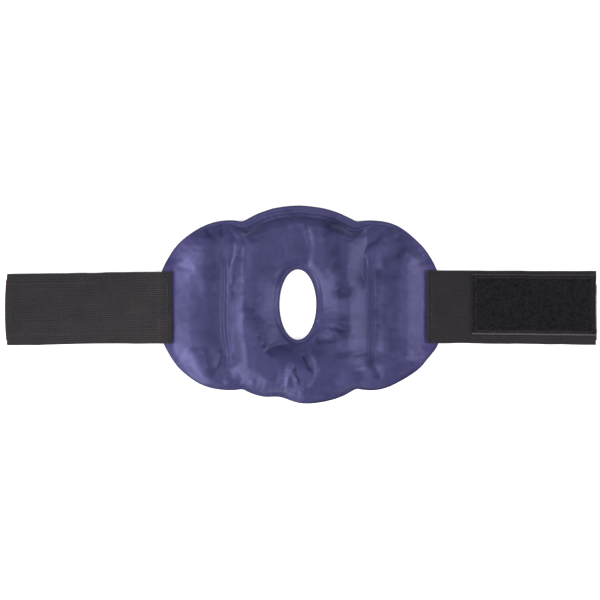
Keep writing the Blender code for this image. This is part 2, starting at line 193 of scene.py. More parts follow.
COLUMNS = 840  # round the pad; even
half = COLUMNS // 2
dense = np.linspace(-math.pi / 2, math.pi / 2, 6001)
r = reach(dense)
run = np.concatenate([[0], np.cumsum(np.hypot(np.diff(r * np.cos(dense)), np.diff(r * np.sin(dense))))])
right_angles = np.interp(np.linspace(0, run[-1], half + 1), run, dense)
angles = np.concatenate([right_angles, math.pi - right_angles[::-1][1:-1]])
rim_r = reach(angles)
rim_x, rim_y = rim_r * np.cos(angles), rim_r * np.sin(angles)
grow = edge_offset(rim_x, rim_y)
rim_x, rim_y = rim_x * (1 + grow / rim_r), rim_y * (1 + grow / rim_r)
# where each ray meets the opening, an ellipse that isn't centred on the origin
qx, qy = np.cos(angles) / HOLE_A, np.sin(angles) / HOLE_B
qq, qo = qx * qx + qy * qy, -(qx * HOLE_X / HOLE_A + qy * HOLE_Y / HOLE_B)
oo = (HOLE_X / HOLE_A) ** 2 + (HOLE_Y / HOLE_B) ** 2
hole_r = (-qo + np.sqrt(qo * qo - qq * (oo - 1))) / qq
hole_x, hole_y = hole_r * np.cos(angles), hole_r * np.sin(angles)
hole_x[[half, 0]] = 0.0  # the two halves of each film meet on x = 0
rim_x[[half, 0]] = 0.0

RINGS = 108
u = np.linspace(0, 1, RINGS - 6)
inner = np.array([0.0, 0.3, 0.8])
span = 40.0
body = 1.6 + (span - 3.2) * (u * 0.62 + 0.38 * (0.5 - 0.5 * np.cos(math.pi * u)))
ring_s = np.concatenate([inner, body, span - inner[::-1]]) / span
# each column's points crowd together where it crosses a baffle weld
fine = np.linspace(0, 1, 1201)
RING_S = np.empty((RINGS, COLUMNS))
for k in range(COLUMNS):
    at_x = hole_x[k] + (rim_x[k] - hole_x[k]) * fine
    at_y = hole_y[k] + (rim_y[k] - hole_y[k]) * fine
    crowd = 1 + 1.7 * np.exp(-(((np.abs(at_x) - 62.2) / 5.5) ** 2)) * sstep((64 - np.abs(at_y)) / 14)
    total = np.concatenate([[0], np.cumsum((crowd[1:] + crowd[:-1]) / 2)])
    RING_S[:, k] = np.interp(ring_s, total / total[-1], fine)
X = hole_x[None] + (rim_x - hole_x)[None] * RING_S
Y = hole_y[None] + (rim_y - hole_y)[None] * RING_S


def distance_to(px, py, cx, cy):
    """Distance from grid points to a closed line of points, and nothing nearer than exact."""
    from mathutils.kdtree import KDTree

    tree = KDTree(len(cx))
    for i, (a, b) in enumerate(zip(cx, cy)):
        tree.insert((a, b, 0.0), i)
    tree.balance()
    flat_x, flat_y = px.ravel(), py.ravel()
    near = np.array([tree.find((a, b, 0.0))[1] for a, b in zip(flat_x, flat_y)])
    best = np.full(flat_x.shape, 1e9)
    n = len(cx)
    for shift in (-1, 0):
        i, j = (near + shift) % n, (near + shift + 1) % n
        ex, ey = cx[j] - cx[i], cy[j] - cy[i]
        t = np.clip(((flat_x - cx[i]) * ex + (flat_y - cy[i]) * ey) / (ex * ex + ey * ey + 1e-12), 0, 1)
        best = np.minimum(best, np.hypot(flat_x - cx[i] - ex * t, flat_y - cy[i] - ey * t))
    return best.reshape(px.shape)


D_RIM = distance_to(X, Y, rim_x, rim_y)
D_HOLE = distance_to(X, Y, hole_x, hole_y)
CROWN_SHARE = sstep((Y - 52) / 14) * sstep((62 - np.abs(X)) / 16)
D_POCKET = D_RIM - (3.4 + (RIM_FLANGE - 3.4) * CROWN_SHARE)
D_MOUTH = D_HOLE - 3.4

# ---- the swelling of the front film -------------------------------------------------------
WELD_X = np.where(
    X < 0,
    -64.6 + 3.4 * sstep((-Y - 20) / 34) + 0.35 * noise2(Y / 13, 0 * Y, 21),
    62.7 + 0.35 * noise2(Y / 13, 0 * Y, 22),
)
WELD_D = np.abs(X - WELD_X)
WELD_OPEN = sstep((np.abs(Y + np.where(X < 0, 7.5, 5.5)) - 33.0) / 20.0)
FULL_MID, FULL_LOBE = 8.9, 6.4


def front_swell():
    out = np.abs(X) > np.abs(WELD_X)
    v = np.maximum(WELD_D - WELD_HALF, 0.0)
    step_up = np.where(X < 0, 0.14 * ease(v / 4.0, 2.0), 0.12 * sstep((v + 1.5) / 11.0))
    soft_start = np.where(X < 0, 1.0, 0.35 + 0.65 * sstep(v / 9.0))
    lobe_side = step_up + (1 - np.where(X < 0, 0.14, 0.12)) * ease(v / 30.0, 1.15) * soft_start
    left_inside = 0.7 * sstep((v + 1.9) / 15.5) + 0.3 * ease(v / 14.0, 1.5)
    closed = np.where(out, lobe_side, np.where(X < 0, left_inside, ease(v / 18.5, 1.4)))
    dip = np.exp(-((WELD_D / 13.0) ** 2))
    dip = np.where((X < 0) & ~out & (Y > 0), 1 - sstep((WELD_D - 4.5) / 12.0), dip)  # the left shoulder steps up
    opened = 1.0 - np.where(X < 0, 0.66, 0.60) * dip
    pinch = closed + (opened - closed) * WELD_OPEN
    full = FULL_MID + (FULL_LOBE - FULL_MID) * sstep((np.abs(X) - 56) / 14)
    # between the opening and the crown there is little gel, and the film lies nearly flat
    top = sstep((Y - 12) / 26) * sstep((46 - np.abs(X + 4)) / 28)
    full = full + (4.6 - full) * top
    run = np.where(X < 0, 33.0 * (1 + 0.20 * noise2(Y / 15, 0 * Y, 31)), 21.0 * (1 + 0.08 * noise2(Y / 18, 0 * Y, 32)))
    end = ease((POCKET_END - np.abs(X)) / run, 1.35)
    ends_run = 18.0 + (10.0 - 18.0) * sstep((np.abs(X) - 72) / 22)
    edge = ease(D_POCKET / (ends_run + 4.0 * noise2(X / 22, Y / 22, 33)), 1.75)
    crown_edge = 0.12 * ease(D_POCKET / 3.0, 2.0) + 0.88 * ease((D_POCKET - 3.0) / 9.0, 1.9)
    edge = edge * (1 - 0.30 * np.exp(-(((X - 50) / 32) ** 2)) * sstep((-Y - 30) / 25) * (1 - ease(D_POCKET / 26.0, 1.5)))
    edge = edge + (crown_edge - edge) * np.maximum(CROWN_SHARE, top)
    to_right = sstep(0.5 + X / 20.0)
    lift_step = 0.16 - 0.11 * to_right
    mouth = lift_step * ease(D_MOUTH / 2.5, 2.0) + (1 - lift_step) * ease(
        (D_MOUTH + 0.5) / (22.0 + 5.0 * to_right), 1.35 + 0.25 * to_right
    )
    mouth_top = 0.1 + 0.9 * ease(D_MOUTH / 9.0, 2.0)
    mouth = mouth + (mouth_top * sstep(D_MOUTH / 2.0) - mouth) * top
    return full * pinch * end * edge * mouth


def line(amp, left, right, power, taper, points):
    """A ridge (amp > 0) or crease (amp < 0) along a line, with a width for each side of it.
    It fades over the taper at its ends, or ends round if the taper is 0."""
    return ("line", amp, left, right, power, taper, points)


def pit(x, y, amp, rx, ry):
    return ("pit", amp, rx, ry, (x, y))


# folds and creases of the front film; each runs downwards or to the right
FOLDS = [
    # the fold that hangs from the crown, right of the middle
    line(-1.6, 6.5, 16, 1.2, 9, [(3.0, 79.3), (5.7, 70.4), (8.8, 59.7), (9.7, 49.1), (7.5, 38.4), (7.0, 31.3)]),
    line(0.7, 7.0, 7.0, 1.8, 7, [(-8.5, 65.1), (-2.3, 72.2), (3.0, 76.6)]),
    line(-1.2, 8.0, 14, 1.2, 22, [(4.8, 45.5), (7.5, 38.4), (11.9, 31.3), (17.2, 20.6), (19.9, 8.2), (19.9, -7.8), (16.4, -30.9)]),
    # shoulder creases above the two baffle welds
    line(-3.0, 3.2, 10.0, 1.0, 30, [(83.9, 90.0), (77.7, 79.3), (70.6, 68.6), (64.4, 59.7), (59.0, 51.7), (56.8, 42.8), (56.9, 29.5), (57.7, 6.4)]),
    line(-0.8, 1.6, 1.8, 1.0, 5, [(75.9, 68.6), (70.6, 60.6), (64.4, 52.6)]),
    line(-0.6, 2.6, 3.6, 1.2, 8, [(-61.0, 66.0), (-57.4, 60.6), (-54.8, 55.3), (-57.0, 47.3), (-60.1, 38.4), (-62.8, 29.5)]),
    line(0.5, 7.0, 7.0, 2.2, 10, [(-49.4, 63.3), (-46.3, 50.0), (-48.5, 33.1), (-52.1, 15.3), (-53.0, 0.2)]),
    # pits where the film has sunk between lumps of gel
    line(-1.0, 5.5, 5.5, 1.8, 5, [(32.4, 12.6), (45.7, 9.1)]),
    line(-0.5, 6.5, 6.5, 2.0, 4, [(38.6, -13.2), (37.7, -25.6)]),
    pit(-49.0, -1.6, -0.6, 5.0, 3.6),
    pit(-40.5, -17.6, -1.0, 8.0, 6.5),
    # below the opening
    line(-1.6, 9, 4.5, 1.0, 7, [(-32.5, -42.5), (-27.2, -38.5), (-19.2, -35.8), (-8.5, -34.5)]),
    line(1.9, 1.8, 4.5, 1.1, 7, [(-6.8, -50.5), (-8.5, -59.4), (-10.8, -69.2), (-13.0, -82.5)]),
    line(0.6, 1.2, 1.2, 1.4, 6, [(-8.5, -52.3), (-5.4, -62.9), (-2.3, -73.6)]),
    line(-1.0, 3.6, 2.4, 1.0, 6, [(-6.8, -51.4), (-3.2, -62.1), (0.4, -70.9), (3.0, -77.2)]),
    line(-1.0, 2.0, 3.5, 1.0, 6, [(2.1, -41.6), (5.2, -48.7), (7.9, -54.9), (10.6, -58.5)]),
    line(0.75, 2.2, 2.2, 1.3, 7, [(8.4, -39.8), (13.7, -47.8), (15.5, -56.7), (11.9, -65.6), (5.7, -73.6)]),
    line(1.0, 6.0, 6.0, 1.6, 6, [(-9.4, -75.4), (-1.4, -80.7), (3.9, -85.2)]),
    line(0.9, 5.0, 5.5, 1.6, 10, [(30.6, -68.3), (40.4, -64.7), (48.4, -60.3), (57.3, -52.3)]),
    line(0.8, 4.6, 4.6, 1.6, 5, [(-50.3, -63.8), (-44.1, -67.4), (-38.8, -71.8)]),
    line(0.5, 3.6, 3.6, 1.6, 6, [(-69.9, -67.4), (-61.0, -69.2), (-53.0, -71.8)]),
    pit(-67.7, -69.6, -0.6, 2.6, 2.6),
    line(-0.8, 4.0, 6.0, 1.2, 8, [(59.9, -41.6), (63.5, -49.6), (67.9, -58.5), (73.3, -69.2)]),
    # the two fingers at the foot of the left lobe
    line(-1.3, 3.2, 4.2, 1.2, 7, [(-84.1, -36.3), (-82.3, -48.7), (-77.9, -64.7)]),
    line(-1.4, 4.0, 3.4, 1.0, 7, [(-68.5, -37.2), (-71.7, -51.4), (-77.4, -66.5)]),
    # small tucks at the left shoulder
    line(-1.0, 2.4, 2.4, 1.0, 4, [(-83.2, 67.7), (-79.2, 59.7)]),
    line(-1.0, 2.0, 2.0, 1.0, 4, [(-69.9, 71.3), (-69.0, 60.6)]),
    line(-0.3, 5.0, 5.0, 1.2, 7, [(-88.5, 38.4), (-83.2, 49.1), (-76.1, 58.0)]),
    # right lobe
    line(-0.5, 6.5, 6.5, 1.4, 9, [(69.7, 39.3), (81.3, 42.8), (94.6, 49.1)]),
    line(0.9, 6.0, 6.0, 1.8, 8, [(71.5, 58.0), (83.0, 64.2), (91.0, 61.5)]),
    # left lobe: a ragged edge to the flat middle, and a full rim below it
    line(0.7, 6.0, 5.0, 1.4, 9, [(-97.4, 38.4), (-89.4, 31.3), (-83.2, 18.0), (-85.9, 4.6)]),
    line(-0.5, 4.0, 6.0, 1.2, 9, [(-88.5, 2.0), (-83.2, -8.7), (-84.1, -30.9)]),
    line(1.5, 9.0, 8.0, 1.5, 12, [(-98.3, -34.5), (-90.3, -46.9), (-80.5, -57.6)]),
    # left of the opening
    line(-0.9, 3.2, 5.0, 1.0, 6, [(-49.4, -11.4), (-42.3, -14.0), (-31.6, -12.3)]),
    line(-1.3, 2.6, 3.6, 1.0, 6, [(-38.8, -22.9), (-32.5, -30.0), (-31.2, -39.8)]),
    # right of the opening
    line(-0.7, 5.0, 4.0, 1.3, 6, [(12.8, -32.7), (25.2, -30.9), (36.8, -28.3)]),
    line(-0.8, 3.6, 5.0, 1.0, 7, [(29.7, -42.9), (44.8, -43.4), (59.0, -42.0), (67.9, -40.7)]),
    # corners of the crown
    line(0.7, 5.0, 5.0, 1.6, 6, [(-48.5, 67.7), (-42.3, 71.7), (-34.3, 75.7)]),
    line(0.7, 5.0, 5.0, 1.6, 6, [(32.4, 74.9), (39.5, 71.7), (46.6, 67.7)]),
]


# tone painted into the film's colour: darker where the film lies on the gel, lighter where air has come between them;
# many lines also sit on the folds, as painted shade in their creases and under them and painted highlight on their
# ridges and lit slopes
PAINTED_LIGHT_AND_TONES = [
    # lighter: the film has lifted off the gel, and painted highlight along ridges and lit slopes
    line(0.7, 3.3, 3.3, 3.0, 0, [(5.7, 65.1), (9.7, 55.3), (10.6, 45.5), (7.9, 35.7)]),
    line(0.35, 5.5, 5.5, 2.0, 0, [(11.9, 26.8), (18.1, 15.3), (21.7, 2.0), (19.9, -14.9)]),
    line(0.3, 7.0, 7.0, 2.6, 0, [(57.3, 56.2), (51.0, 44.6), (47.5, 33.1)]),
    line(0.15, 4.4, 4.4, 3.0, 0, [(53.7, 29.5), (52.8, -6.0), (51.9, -30.9)]),
    line(0.45, 5.2, 5.2, 5.0, 0, [(38.6, -37.2), (44.8, -34.5), (51.9, -31.8)]),
    line(0.6, 4.6, 4.6, 2.2, 0, [(35.9, -67.4), (43.0, -62.9)]),
    line(0.38, 7.5, 7.5, 4.0, 0, [(99.0, 36.6), (99.9, 4.6), (99.0, -35.4)]),
    line(0.55, 4.2, 4.2, 2.2, 0, [(-51.2, 61.5), (-45.9, 50.9), (-45.9, 40.2), (-49.4, 26.0), (-53.9, 13.5), (-55.7, -0.7)]),
    line(-0.5, 3.2, 3.2, 2.2, 0, [(-51.7, 55.3), (-51.2, 38.4), (-52.1, 17.1)]),
    line(0.75, 1.1, 1.1, 2.0, 5, [(-59.7, 66.9), (-56.1, 61.5), (-53.9, 56.2), (-55.2, 49.1), (-58.3, 41.1), (-60.5, 31.3), (-62.3, 18.8), (-63.2, 8.2)]),
    line(-0.4, 1.7, 1.7, 2.0, 5, [(-55.7, 60.6), (-53.0, 55.3), (-53.9, 48.2), (-55.8, 40.2), (-57.9, 30.4), (-59.6, 17.1), (-60.1, 4.6)]),
    line(0.35, 6.0, 6.0, 2.6, 0, [(-56.5, -2.5), (-53.9, -14.9), (-48.5, -29.2)]),
    line(1.1, 11.0, 11.0, 3.4, 0, [(-96.5, 49.1), (-98.3, 31.3)]),
    line(0.3, 10.5, 10.5, 3.0, 0, [(-99.2, 18.0), (-99.2, -26.5)]),
    line(0.5, 5.0, 5.0, 3.0, 0, [(-90.3, 33.1), (-86.8, 15.3)]),
    line(0.85, 6.8, 6.8, 2.0, 0, [(-103.7, -41.6), (-95.7, -54.1), (-84.1, -63.8)]),
    line(0.4, 4.6, 4.6, 2.2, 0, [(-92.1, -34.5), (-90.3, -46.9), (-85.0, -58.5)]),
    line(0.6, 3.2, 3.2, 2.5, 0, [(-47.7, -65.6), (-42.3, -68.3)]),
    line(0.5, 4.5, 4.5, 3.0, 0, [(-62.8, -39.8), (-61.9, -50.5), (-55.7, -62.1)]),
    line(0.35, 2.4, 2.4, 2.2, 0, [(-77.0, -39.8), (-77.0, -54.1)]),
    line(0.3, 4.0, 4.0, 2.2, 0, [(-60.1, -36.3), (-60.1, -54.1)]),
    line(1.3, 1.5, 1.5, 2.0, 4, [(-9.0, -49.6), (-11.2, -62.9), (-13.4, -78.9)]),
    line(1.2, 1.3, 1.3, 2.0, 4, [(-8.5, -49.6), (-5.4, -59.4), (-3.2, -70.1), (2.1, -81.6)]),
    line(0.5, 3.6, 3.6, 3.0, 0, [(-10.3, -61.2), (-10.3, -73.6)]),
    line(-0.8, 1.5, 1.5, 2.0, 4, [(-5.0, -53.2), (-1.9, -63.8), (3.0, -76.3)]),
    line(0.7, 4.4, 4.4, 3.0, 0, [(-8.5, -76.3), (-0.5, -82.5)]),
    line(0.4, 1.4, 1.4, 2.0, 4, [(-18.3, -54.1), (-19.6, -66.5), (-21.0, -78.9)]),
    line(0.85, 1.4, 1.4, 2.0, 4, [(8.4, -39.8), (13.7, -47.8), (15.5, -56.7), (11.9, -65.6), (5.7, -74.5)]),
    line(0.4, 3.0, 3.0, 3.0, 0, [(8.4, -41.6), (11.0, -48.7)]),
    line(0.6, 6.5, 6.5, 2.0, 0, [(54.6, -47.8), (58.1, -58.5), (59.9, -69.2)]),
    # darker: the film lies on the gel, and painted shade in creases and under folds
    line(-0.25, 5.0, 5.0, 2.2, 0, [(43.9, 59.7), (43.9, 34.8)]),
    line(-0.25, 6.5, 6.5, 2.2, 0, [(-36.1, 38.4), (-38.8, 18.0), (-36.1, 2.0)]),
    line(-0.7, 9.0, 9.0, 3.0, 0, [(29.7, 68.6), (29.7, 53.5), (30.6, 38.4)]),
    line(-0.75, 6.2, 6.2, 3.0, 0, [(34.1, 12.2), (45.7, 10.4)]),
    line(-0.5, 5.0, 5.0, 4.0, 0, [(35.0, 30.4), (37.7, 18.8)]),
    line(-0.8, 7.4, 7.4, 3.2, 0, [(37.7, -14.9), (37.7, -22.0)]),
    line(-0.62, 7.8, 7.8, 3.0, 0, [(81.3, 31.3), (81.3, -35.4)]),
    line(-0.65, 6.0, 6.0, 2.0, 0, [(77.7, 38.4), (85.7, 42.0), (91.9, 46.4)]),
    line(-0.45, 3.4, 3.4, 2.4, 0, [(-52.1, 1.1), (-47.7, -2.9), (-42.3, -5.2)]),
    line(0.2, 5.2, 5.2, 2.4, 0, [(-43.2, -16.7), (-37.9, -22.0)]),
    line(-0.45, 5.6, 5.6, 2.4, 0, [(-23.6, -43.4), (-13.9, -40.3), (-6.8, -39.8)]),
    line(0.3, 7.0, 5.0, 2.4, 0, [(2.1, -35.4), (-1.4, -41.6)]),
    line(-0.35, 2.8, 2.8, 2.4, 0, [(-83.2, -38.9), (-82.3, -50.5), (-78.8, -61.2)]),
    line(-0.35, 3.0, 3.0, 2.4, 0, [(-69.9, -39.8), (-71.7, -50.5), (-77.0, -62.9)]),
    line(-0.95, 1.3, 1.9, 2.4, 3, [(2.6, -43.4), (6.6, -51.4), (10.6, -58.5)]),
    line(-0.8, 1.8, 1.8, 2.5, 0, [(10.1, -57.2), (10.6, -58.5)]),
    line(-0.35, 7.0, 7.0, 3.0, 0, [(-76.1, 58.0), (-75.2, 22.4), (-77.0, -30.9)]),
    line(-0.6, 2.8, 3.6, 3.0, 7, [(60.8, -43.4), (64.4, -54.1), (72.4, -69.2)]),
    line(-0.5, 1.8, 3.0, 3.0, 7, [(27.9, -43.8), (44.8, -44.7), (64.4, -42.9)]),
    line(-0.7, 2.8, 2.8, 3.5, 0, [(16.4, -31.8), (27.0, -31.4), (34.1, -28.3)]),
    line(-0.7, 1.7, 1.7, 2.0, 0, [(-82.3, 66.0), (-79.7, 61.5)]),
    line(-0.6, 1.5, 1.5, 2.0, 0, [(-69.9, 70.4), (-69.0, 61.5)]),
    line(-0.3, 8.0, 8.0, 2.5, 0, [(14.6, -39.8), (27.0, -50.5)]),
    line(-0.8, 4.2, 4.2, 2.0, 0, [(70.6, 29.5), (71.0, 4.6), (70.1, -29.2)]),
    line(0.3, 5.0, 5.0, 2.2, 0, [(101.7, 51.7), (98.1, 38.4)]),
    line(0.35, 5.0, 5.0, 2.2, 0, [(-52.1, -7.8), (-47.7, -18.5), (-41.4, -31.8)]),
]


def fold_field(fold, X, Y):
    out = np.zeros_like(X)
    if fold[0] == "pit":
        _, amp, rx, ry, (cx, cy) = fold
        k = ((X - cx) / rx) ** 2 + ((Y - cy) / ry) ** 2
        return amp * np.exp(-(k**0.85))
    _, amp, left, right, power, taper, points = fold
    path = spline(points)
    wide = 4.5 * max(left, right) + 2
    m = (
        (X > path[:, 0].min() - wide)
        & (X < path[:, 0].max() + wide)
        & (Y > path[:, 1].min() - wide)
        & (Y < path[:, 1].max() + wide)
    )
    x, y = X[m], Y[m]
    best, side, along = np.full(x.shape, 1e9), np.zeros(x.shape), np.zeros(x.shape)
    s0 = 0.0
    for (ax, ay), (bx, by) in zip(path[:-1], path[1:]):
        ex, ey = bx - ax, by - ay
        n = math.hypot(ex, ey)
        t = np.clip(((x - ax) * ex + (y - ay) * ey) / (n * n), 0, 1)
        dx, dy = x - ax - ex * t, y - ay - ey * t
        d = np.hypot(dx, dy)
        nearer = d < best
        best = np.where(nearer, d, best)
        side = np.where(nearer, (ex * dy - ey * dx) / (n * np.maximum(d, 0.3)), side)
        along = np.where(nearer, s0 + t * n, along)
        s0 += n
    d = np.sqrt(best * best + 0.36) - 0.6
    w = right + (left - right) * sstep(0.5 + 0.5 * side)
    ends = 1.0
    if taper:
        reach_in = np.minimum(along, s0 - along)
        ends = sstep(reach_in / min(taper, s0 / 2) + 0.02)
        w = w * (0.3 + 0.7 * sstep(reach_in / np.minimum(np.maximum(taper, 1.3 * w), s0 / 2)))
    fade = np.clip(1 - best / wide, 0, 1) ** 0.5
    out[m] = amp * np.exp(-((d / w) ** power)) * ends * fade
    return out


SWELL = front_swell()
INSIDE = sstep((D_POCKET + 0.5) / 5.0) * sstep((D_MOUTH + 0.5) / 4.0) * sstep((POCKET_END - np.abs(X)) / 4.0)
ON_WELD = (1 - WELD_OPEN) * sstep((4.2 - WELD_D) / 2.0)
H = SWELL.copy()
folds = np.zeros_like(X)
for f in FOLDS:
    folds += fold_field(f, X, Y)
ragged_x = X + 1.5 * noise2(X / 7.5, Y / 7.5, 45) + 0.5 * noise2(X / 2.6, Y / 2.6, 46)
ragged_y = Y + 1.5 * noise2(X / 7.5, Y / 7.5, 47) + 0.5 * noise2(X / 2.6, Y / 2.6, 48)
PAINTED_LIGHT_AND_TONE = np.zeros_like(X)
for f in PAINTED_LIGHT_AND_TONES:
    patch = fold_field(f, ragged_x, ragged_y)
    PAINTED_LIGHT_AND_TONE = PAINTED_LIGHT_AND_TONE * (1 - np.abs(patch)) + patch
PAINTED_LIGHT_AND_TONE = PAINTED_LIGHT_AND_TONE * (0.85 + 0.3 * noise2(X / 5.0, Y / 5.0, 49))
# lighter tone and painted highlight are kept weaker on the right half
PAINTED_LIGHT_AND_TONE[(PAINTED_LIGHT_AND_TONE > 0) & (X > 0)] *= 0.7
# fine light and dark lines along the weld bars, painted into the tone: partly the marks the bars leave, partly painted
# light and shade on the weld's ledges
on_bar = np.abs(X) - np.abs(WELD_X)
for side_, at, deep, wide in (
    (-1, 3.6, 0.5, 0.5), (-1, 2.2, -0.7, 0.6), (-1, 0.8, 0.5, 0.5), (-1, -0.9, -0.9, 0.7), (-1, -4.4, 0.35, 0.9),
    (1, -3.6, 0.5, 0.6), (1, -2.2, -0.3, 0.5), (1, -0.3, 0.4, 1.7), (1, 2.6, 0.25, 0.5), (1, 4.0, -0.2, 0.6),
):
    PAINTED_LIGHT_AND_TONE -= (np.sign(X) == side_) * (1 - WELD_OPEN) * deep * np.exp(-(((on_bar - at) / wide) ** 2))
H += folds * INSIDE * (1 - 0.9 * ON_WELD)

# gentle lumps and fine film waves between the folds
soft = INSIDE * (1 - ON_WELD)
H += soft * (0.55 * noise2(X / 24 + 5, Y / 19, 41) + 0.22 * noise2(X / 10, Y / 9 + 4, 42) + 0.06 * noise2(X / 4.2, Y / 4.2, 43))
H = np.maximum(H, 0.25 * INSIDE)


# ---- cloth: the film is slack, so it buckles into small wrinkles between its welds --------
def blur(field, times):
    """Smooths a grid that closes round its columns."""
    for _ in range(times):
        field = (np.roll(field, 1, 1) + np.roll(field, -1, 1) + 2 * field) / 4
        padded = np.concatenate([field[:1], field, field[-1:]])
        field = (padded[:-2] + padded[2:] + 2 * field) / 4
    return field


def settle():
    """Height that the slack film gains or loses when it is let go, run as cloth on a coarser grid."""
    size = 10.0 * MM  # simulated at ten times its size, where cloth behaves well
    rows = np.unique(np.round(np.linspace(0, RINGS - 1, 52)).astype(int))
    cols = np.arange(0, COLUMNS, 3)
    x, y, z = (q[np.ix_(rows, cols)] for q in (X, Y, H))
    nr, nc = x.shape
    idx = np.arange(nr * nc).reshape(nr, nc)
    nxt = np.roll(idx, -1, 1)
    faces = np.stack([idx[:-1], idx[1:], nxt[1:], nxt[:-1]], -1).reshape(-1, 4)
    mesh = bpy.data.meshes.new("film_cloth")
    mesh.from_pydata((np.stack([x, y, z], -1).reshape(-1, 3) * size).tolist(), [], faces.tolist())
    cloth_obj = bpy.data.objects.new("film_cloth", mesh)
    bpy.context.scene.collection.objects.link(cloth_obj)
    held = ((D_POCKET < 0.6) | (D_MOUTH < 0.6) | ((WELD_D < 3.2) & (WELD_OPEN < 0.4)))[np.ix_(rows, cols)]
    group = cloth_obj.vertex_groups.new(name="held")
    group.add([int(i) for i in idx[held]], 1.0, "REPLACE")
    cloth = cloth_obj.modifiers.new("film", "CLOTH")
    c = cloth.settings
    c.quality = 7
    c.mass = 0.25
    c.tension_stiffness, c.compression_stiffness, c.shear_stiffness = 22, 22, 8
    c.bending_stiffness = 1.2
    c.tension_damping = c.compression_damping = 8
    c.air_damping = 2.0
    c.shrink_min = -0.015
    c.use_pressure = True
    c.uniform_pressure_force = 1.2
    c.effector_weights.gravity = 0
    c.vertex_group_mass = "held"
    c.pin_stiffness = 4
    cloth.collision_settings.use_collision = False
    cloth.collision_settings.use_self_collision = False
    cloth.point_cache.frame_start, cloth.point_cache.frame_end = 1, 24
    for frame_number in range(1, 23):
        bpy.context.scene.frame_set(frame_number)
    done = cloth_obj.evaluated_get(bpy.context.evaluated_depsgraph_get())
    co = np.zeros(nr * nc * 3)
    done.data.vertices.foreach_get("co", co)
    after = co.reshape(nr, nc, 3) / size
    bpy.data.objects.remove(cloth_obj)
    bpy.context.scene.frame_set(1)
    rise = after[..., 2] - z
    wide = np.empty((nr, COLUMNS))
    stations_ = np.append(cols, COLUMNS)
    for k in range(nr):
        wide[k] = np.interp(np.arange(COLUMNS), stations_, np.append(rise[k], rise[k, 0]))
    out = np.empty((RINGS, COLUMNS))
    for k in range(COLUMNS):
        out[:, k] = np.interp(np.arange(RINGS), rows, wide[:, k])
    return blur(out, 2)


rise = settle()
wrinkle = rise - blur(rise, 60)
calm = sstep((D_MOUTH - 2) / 16) * sstep((D_POCKET - 1) / 6) * (1 - (1 - WELD_OPEN) * sstep((22 - WELD_D) / 10))
H += np.clip(0.32 * wrinkle * calm + 0.06 * np.clip(rise, -3, 3), -1.5, 1.5) * INSIDE * (1 - ON_WELD)

# puckers that run in from the welded rim
ANGLE = np.arctan2(Y, X)
around = ANGLE * 95.0
pucker = noise2(around / 3.6, D_RIM / 22.0, 51) * 0.6 + noise2(around / 7.5, D_RIM / 30.0, 52)
fade = np.exp(-(((D_POCKET - 2.5) / 6.0) ** 2))
H += 0.55 * pucker * fade * sstep((D_RIM - 1.5) / 5.0) * sstep((np.abs(Y) - 38) / 10) * (D_MOUTH > 10)

# welded bands: flat, with the weld bars' edges pressed in
groove = np.zeros_like(X)
near_strap = sstep((36 - np.abs(Y)) / 6) * (np.abs(X) > 90)
groove -= 0.20 * np.exp(-((D_POCKET / 0.75) ** 2)) * (1 - near_strap)
groove -= 0.10 * np.exp(-(((D_POCKET + 3.1) / 0.6) ** 2)) * (1 - near_strap)
groove -= 0.20 * np.exp(-((D_MOUTH / 0.6) ** 2))
groove -= 0.06 * np.exp(-(((D_MOUTH + 1.7) / 0.5) ** 2))
for at, deep, wide in ((-3.4, 0.16, 0.6), (-1.1, 0.12, 0.5), (0.9, 0.14, 0.5), (3.2, 0.20, 0.6), (5.6, 0.10, 0.6)):
    weld_side = (np.abs(X) - np.abs(WELD_X)) * -1.0
    groove -= (1 - WELD_OPEN) * deep * np.exp(-(((weld_side - at) / wide) ** 2))
for at, deep in ((109.4, 0.20), (107.2, 0.12)):
    groove -= deep * np.exp(-(((np.abs(X) - at) / 0.6) ** 2)) * (D_POCKET > -1)
H += groove
WAVE = 0.22 * noise2(around / 16.0, 0 * X, 61) * sstep((np.abs(Y) - 40) / 16) * np.exp(-D_RIM / 8.0)

DROOP = sstep((np.abs(X) - 99) / 20) * sstep((np.abs(Y) - 34) / 9) * 1.6
DROOP = np.maximum(DROOP, 0.7 * sstep((-Y - 50) / 12) * sstep((6 - D_RIM) / 7) * (0.7 + 0.5 * noise2(around / 24.0, 0 * X, 63)))
WAVE = WAVE - DROOP
Z_FRONT = FRONT_FLANGE + H + WAVE
Z_BACK_SWELL = (BACK_FLANGE - 0.0) * (
    ease(D_POCKET / 11.0, 2.0)
    * ease((POCKET_END - np.abs(X)) / 11.0, 2.0)
    * ease(D_MOUTH / 9.0, 2.0)
    * (1 - (1 - WELD_OPEN * 0.75) * (1 - ease(np.maximum(WELD_D - WELD_HALF, 0) / 8.0, 2.0)))
)
back_noise = 0.5 * noise2(X / 17, Y / 15, 71) + 0.3 * noise2(X / 7.5, Y / 7.5, 72) + 0.5 * pucker * fade
depth = np.clip(Z_BACK_SWELL + back_noise * INSIDE * (1 - ON_WELD) * 0.9, 0.0, BACK_FLANGE)
# rests flat: the lowest part is pressed level by the table
depth = BACK_FLANGE * np.tanh(depth / BACK_FLANGE * 1.5) / np.tanh(1.5)
Z_BACK = BACK_FLANGE - depth - groove * 0.8 * (depth < 1.5) + WAVE
Z_BACK = np.maximum(Z_BACK, 0.0)

# edges of the film: rounded over
for lip, d in ((D_RIM, 0.0), (D_HOLE, 0.0)):
    soft_edge = np.clip(1 - lip / 0.7, 0, 1) ** 2
    Z_FRONT -= 0.24 * soft_edge
    Z_BACK += 0.24 * soft_edge
Z_FRONT_IN = np.minimum(Z_FRONT - FILM_T, Z_FRONT - FILM_T)
Z_BACK_IN = Z_BACK + FILM_T
gap = Z_FRONT_IN - Z_BACK_IN
lift = np.maximum(0.05 - gap, 0.0) / 2
Z_FRONT_IN, Z_BACK_IN = Z_FRONT_IN + lift, Z_BACK_IN - lift
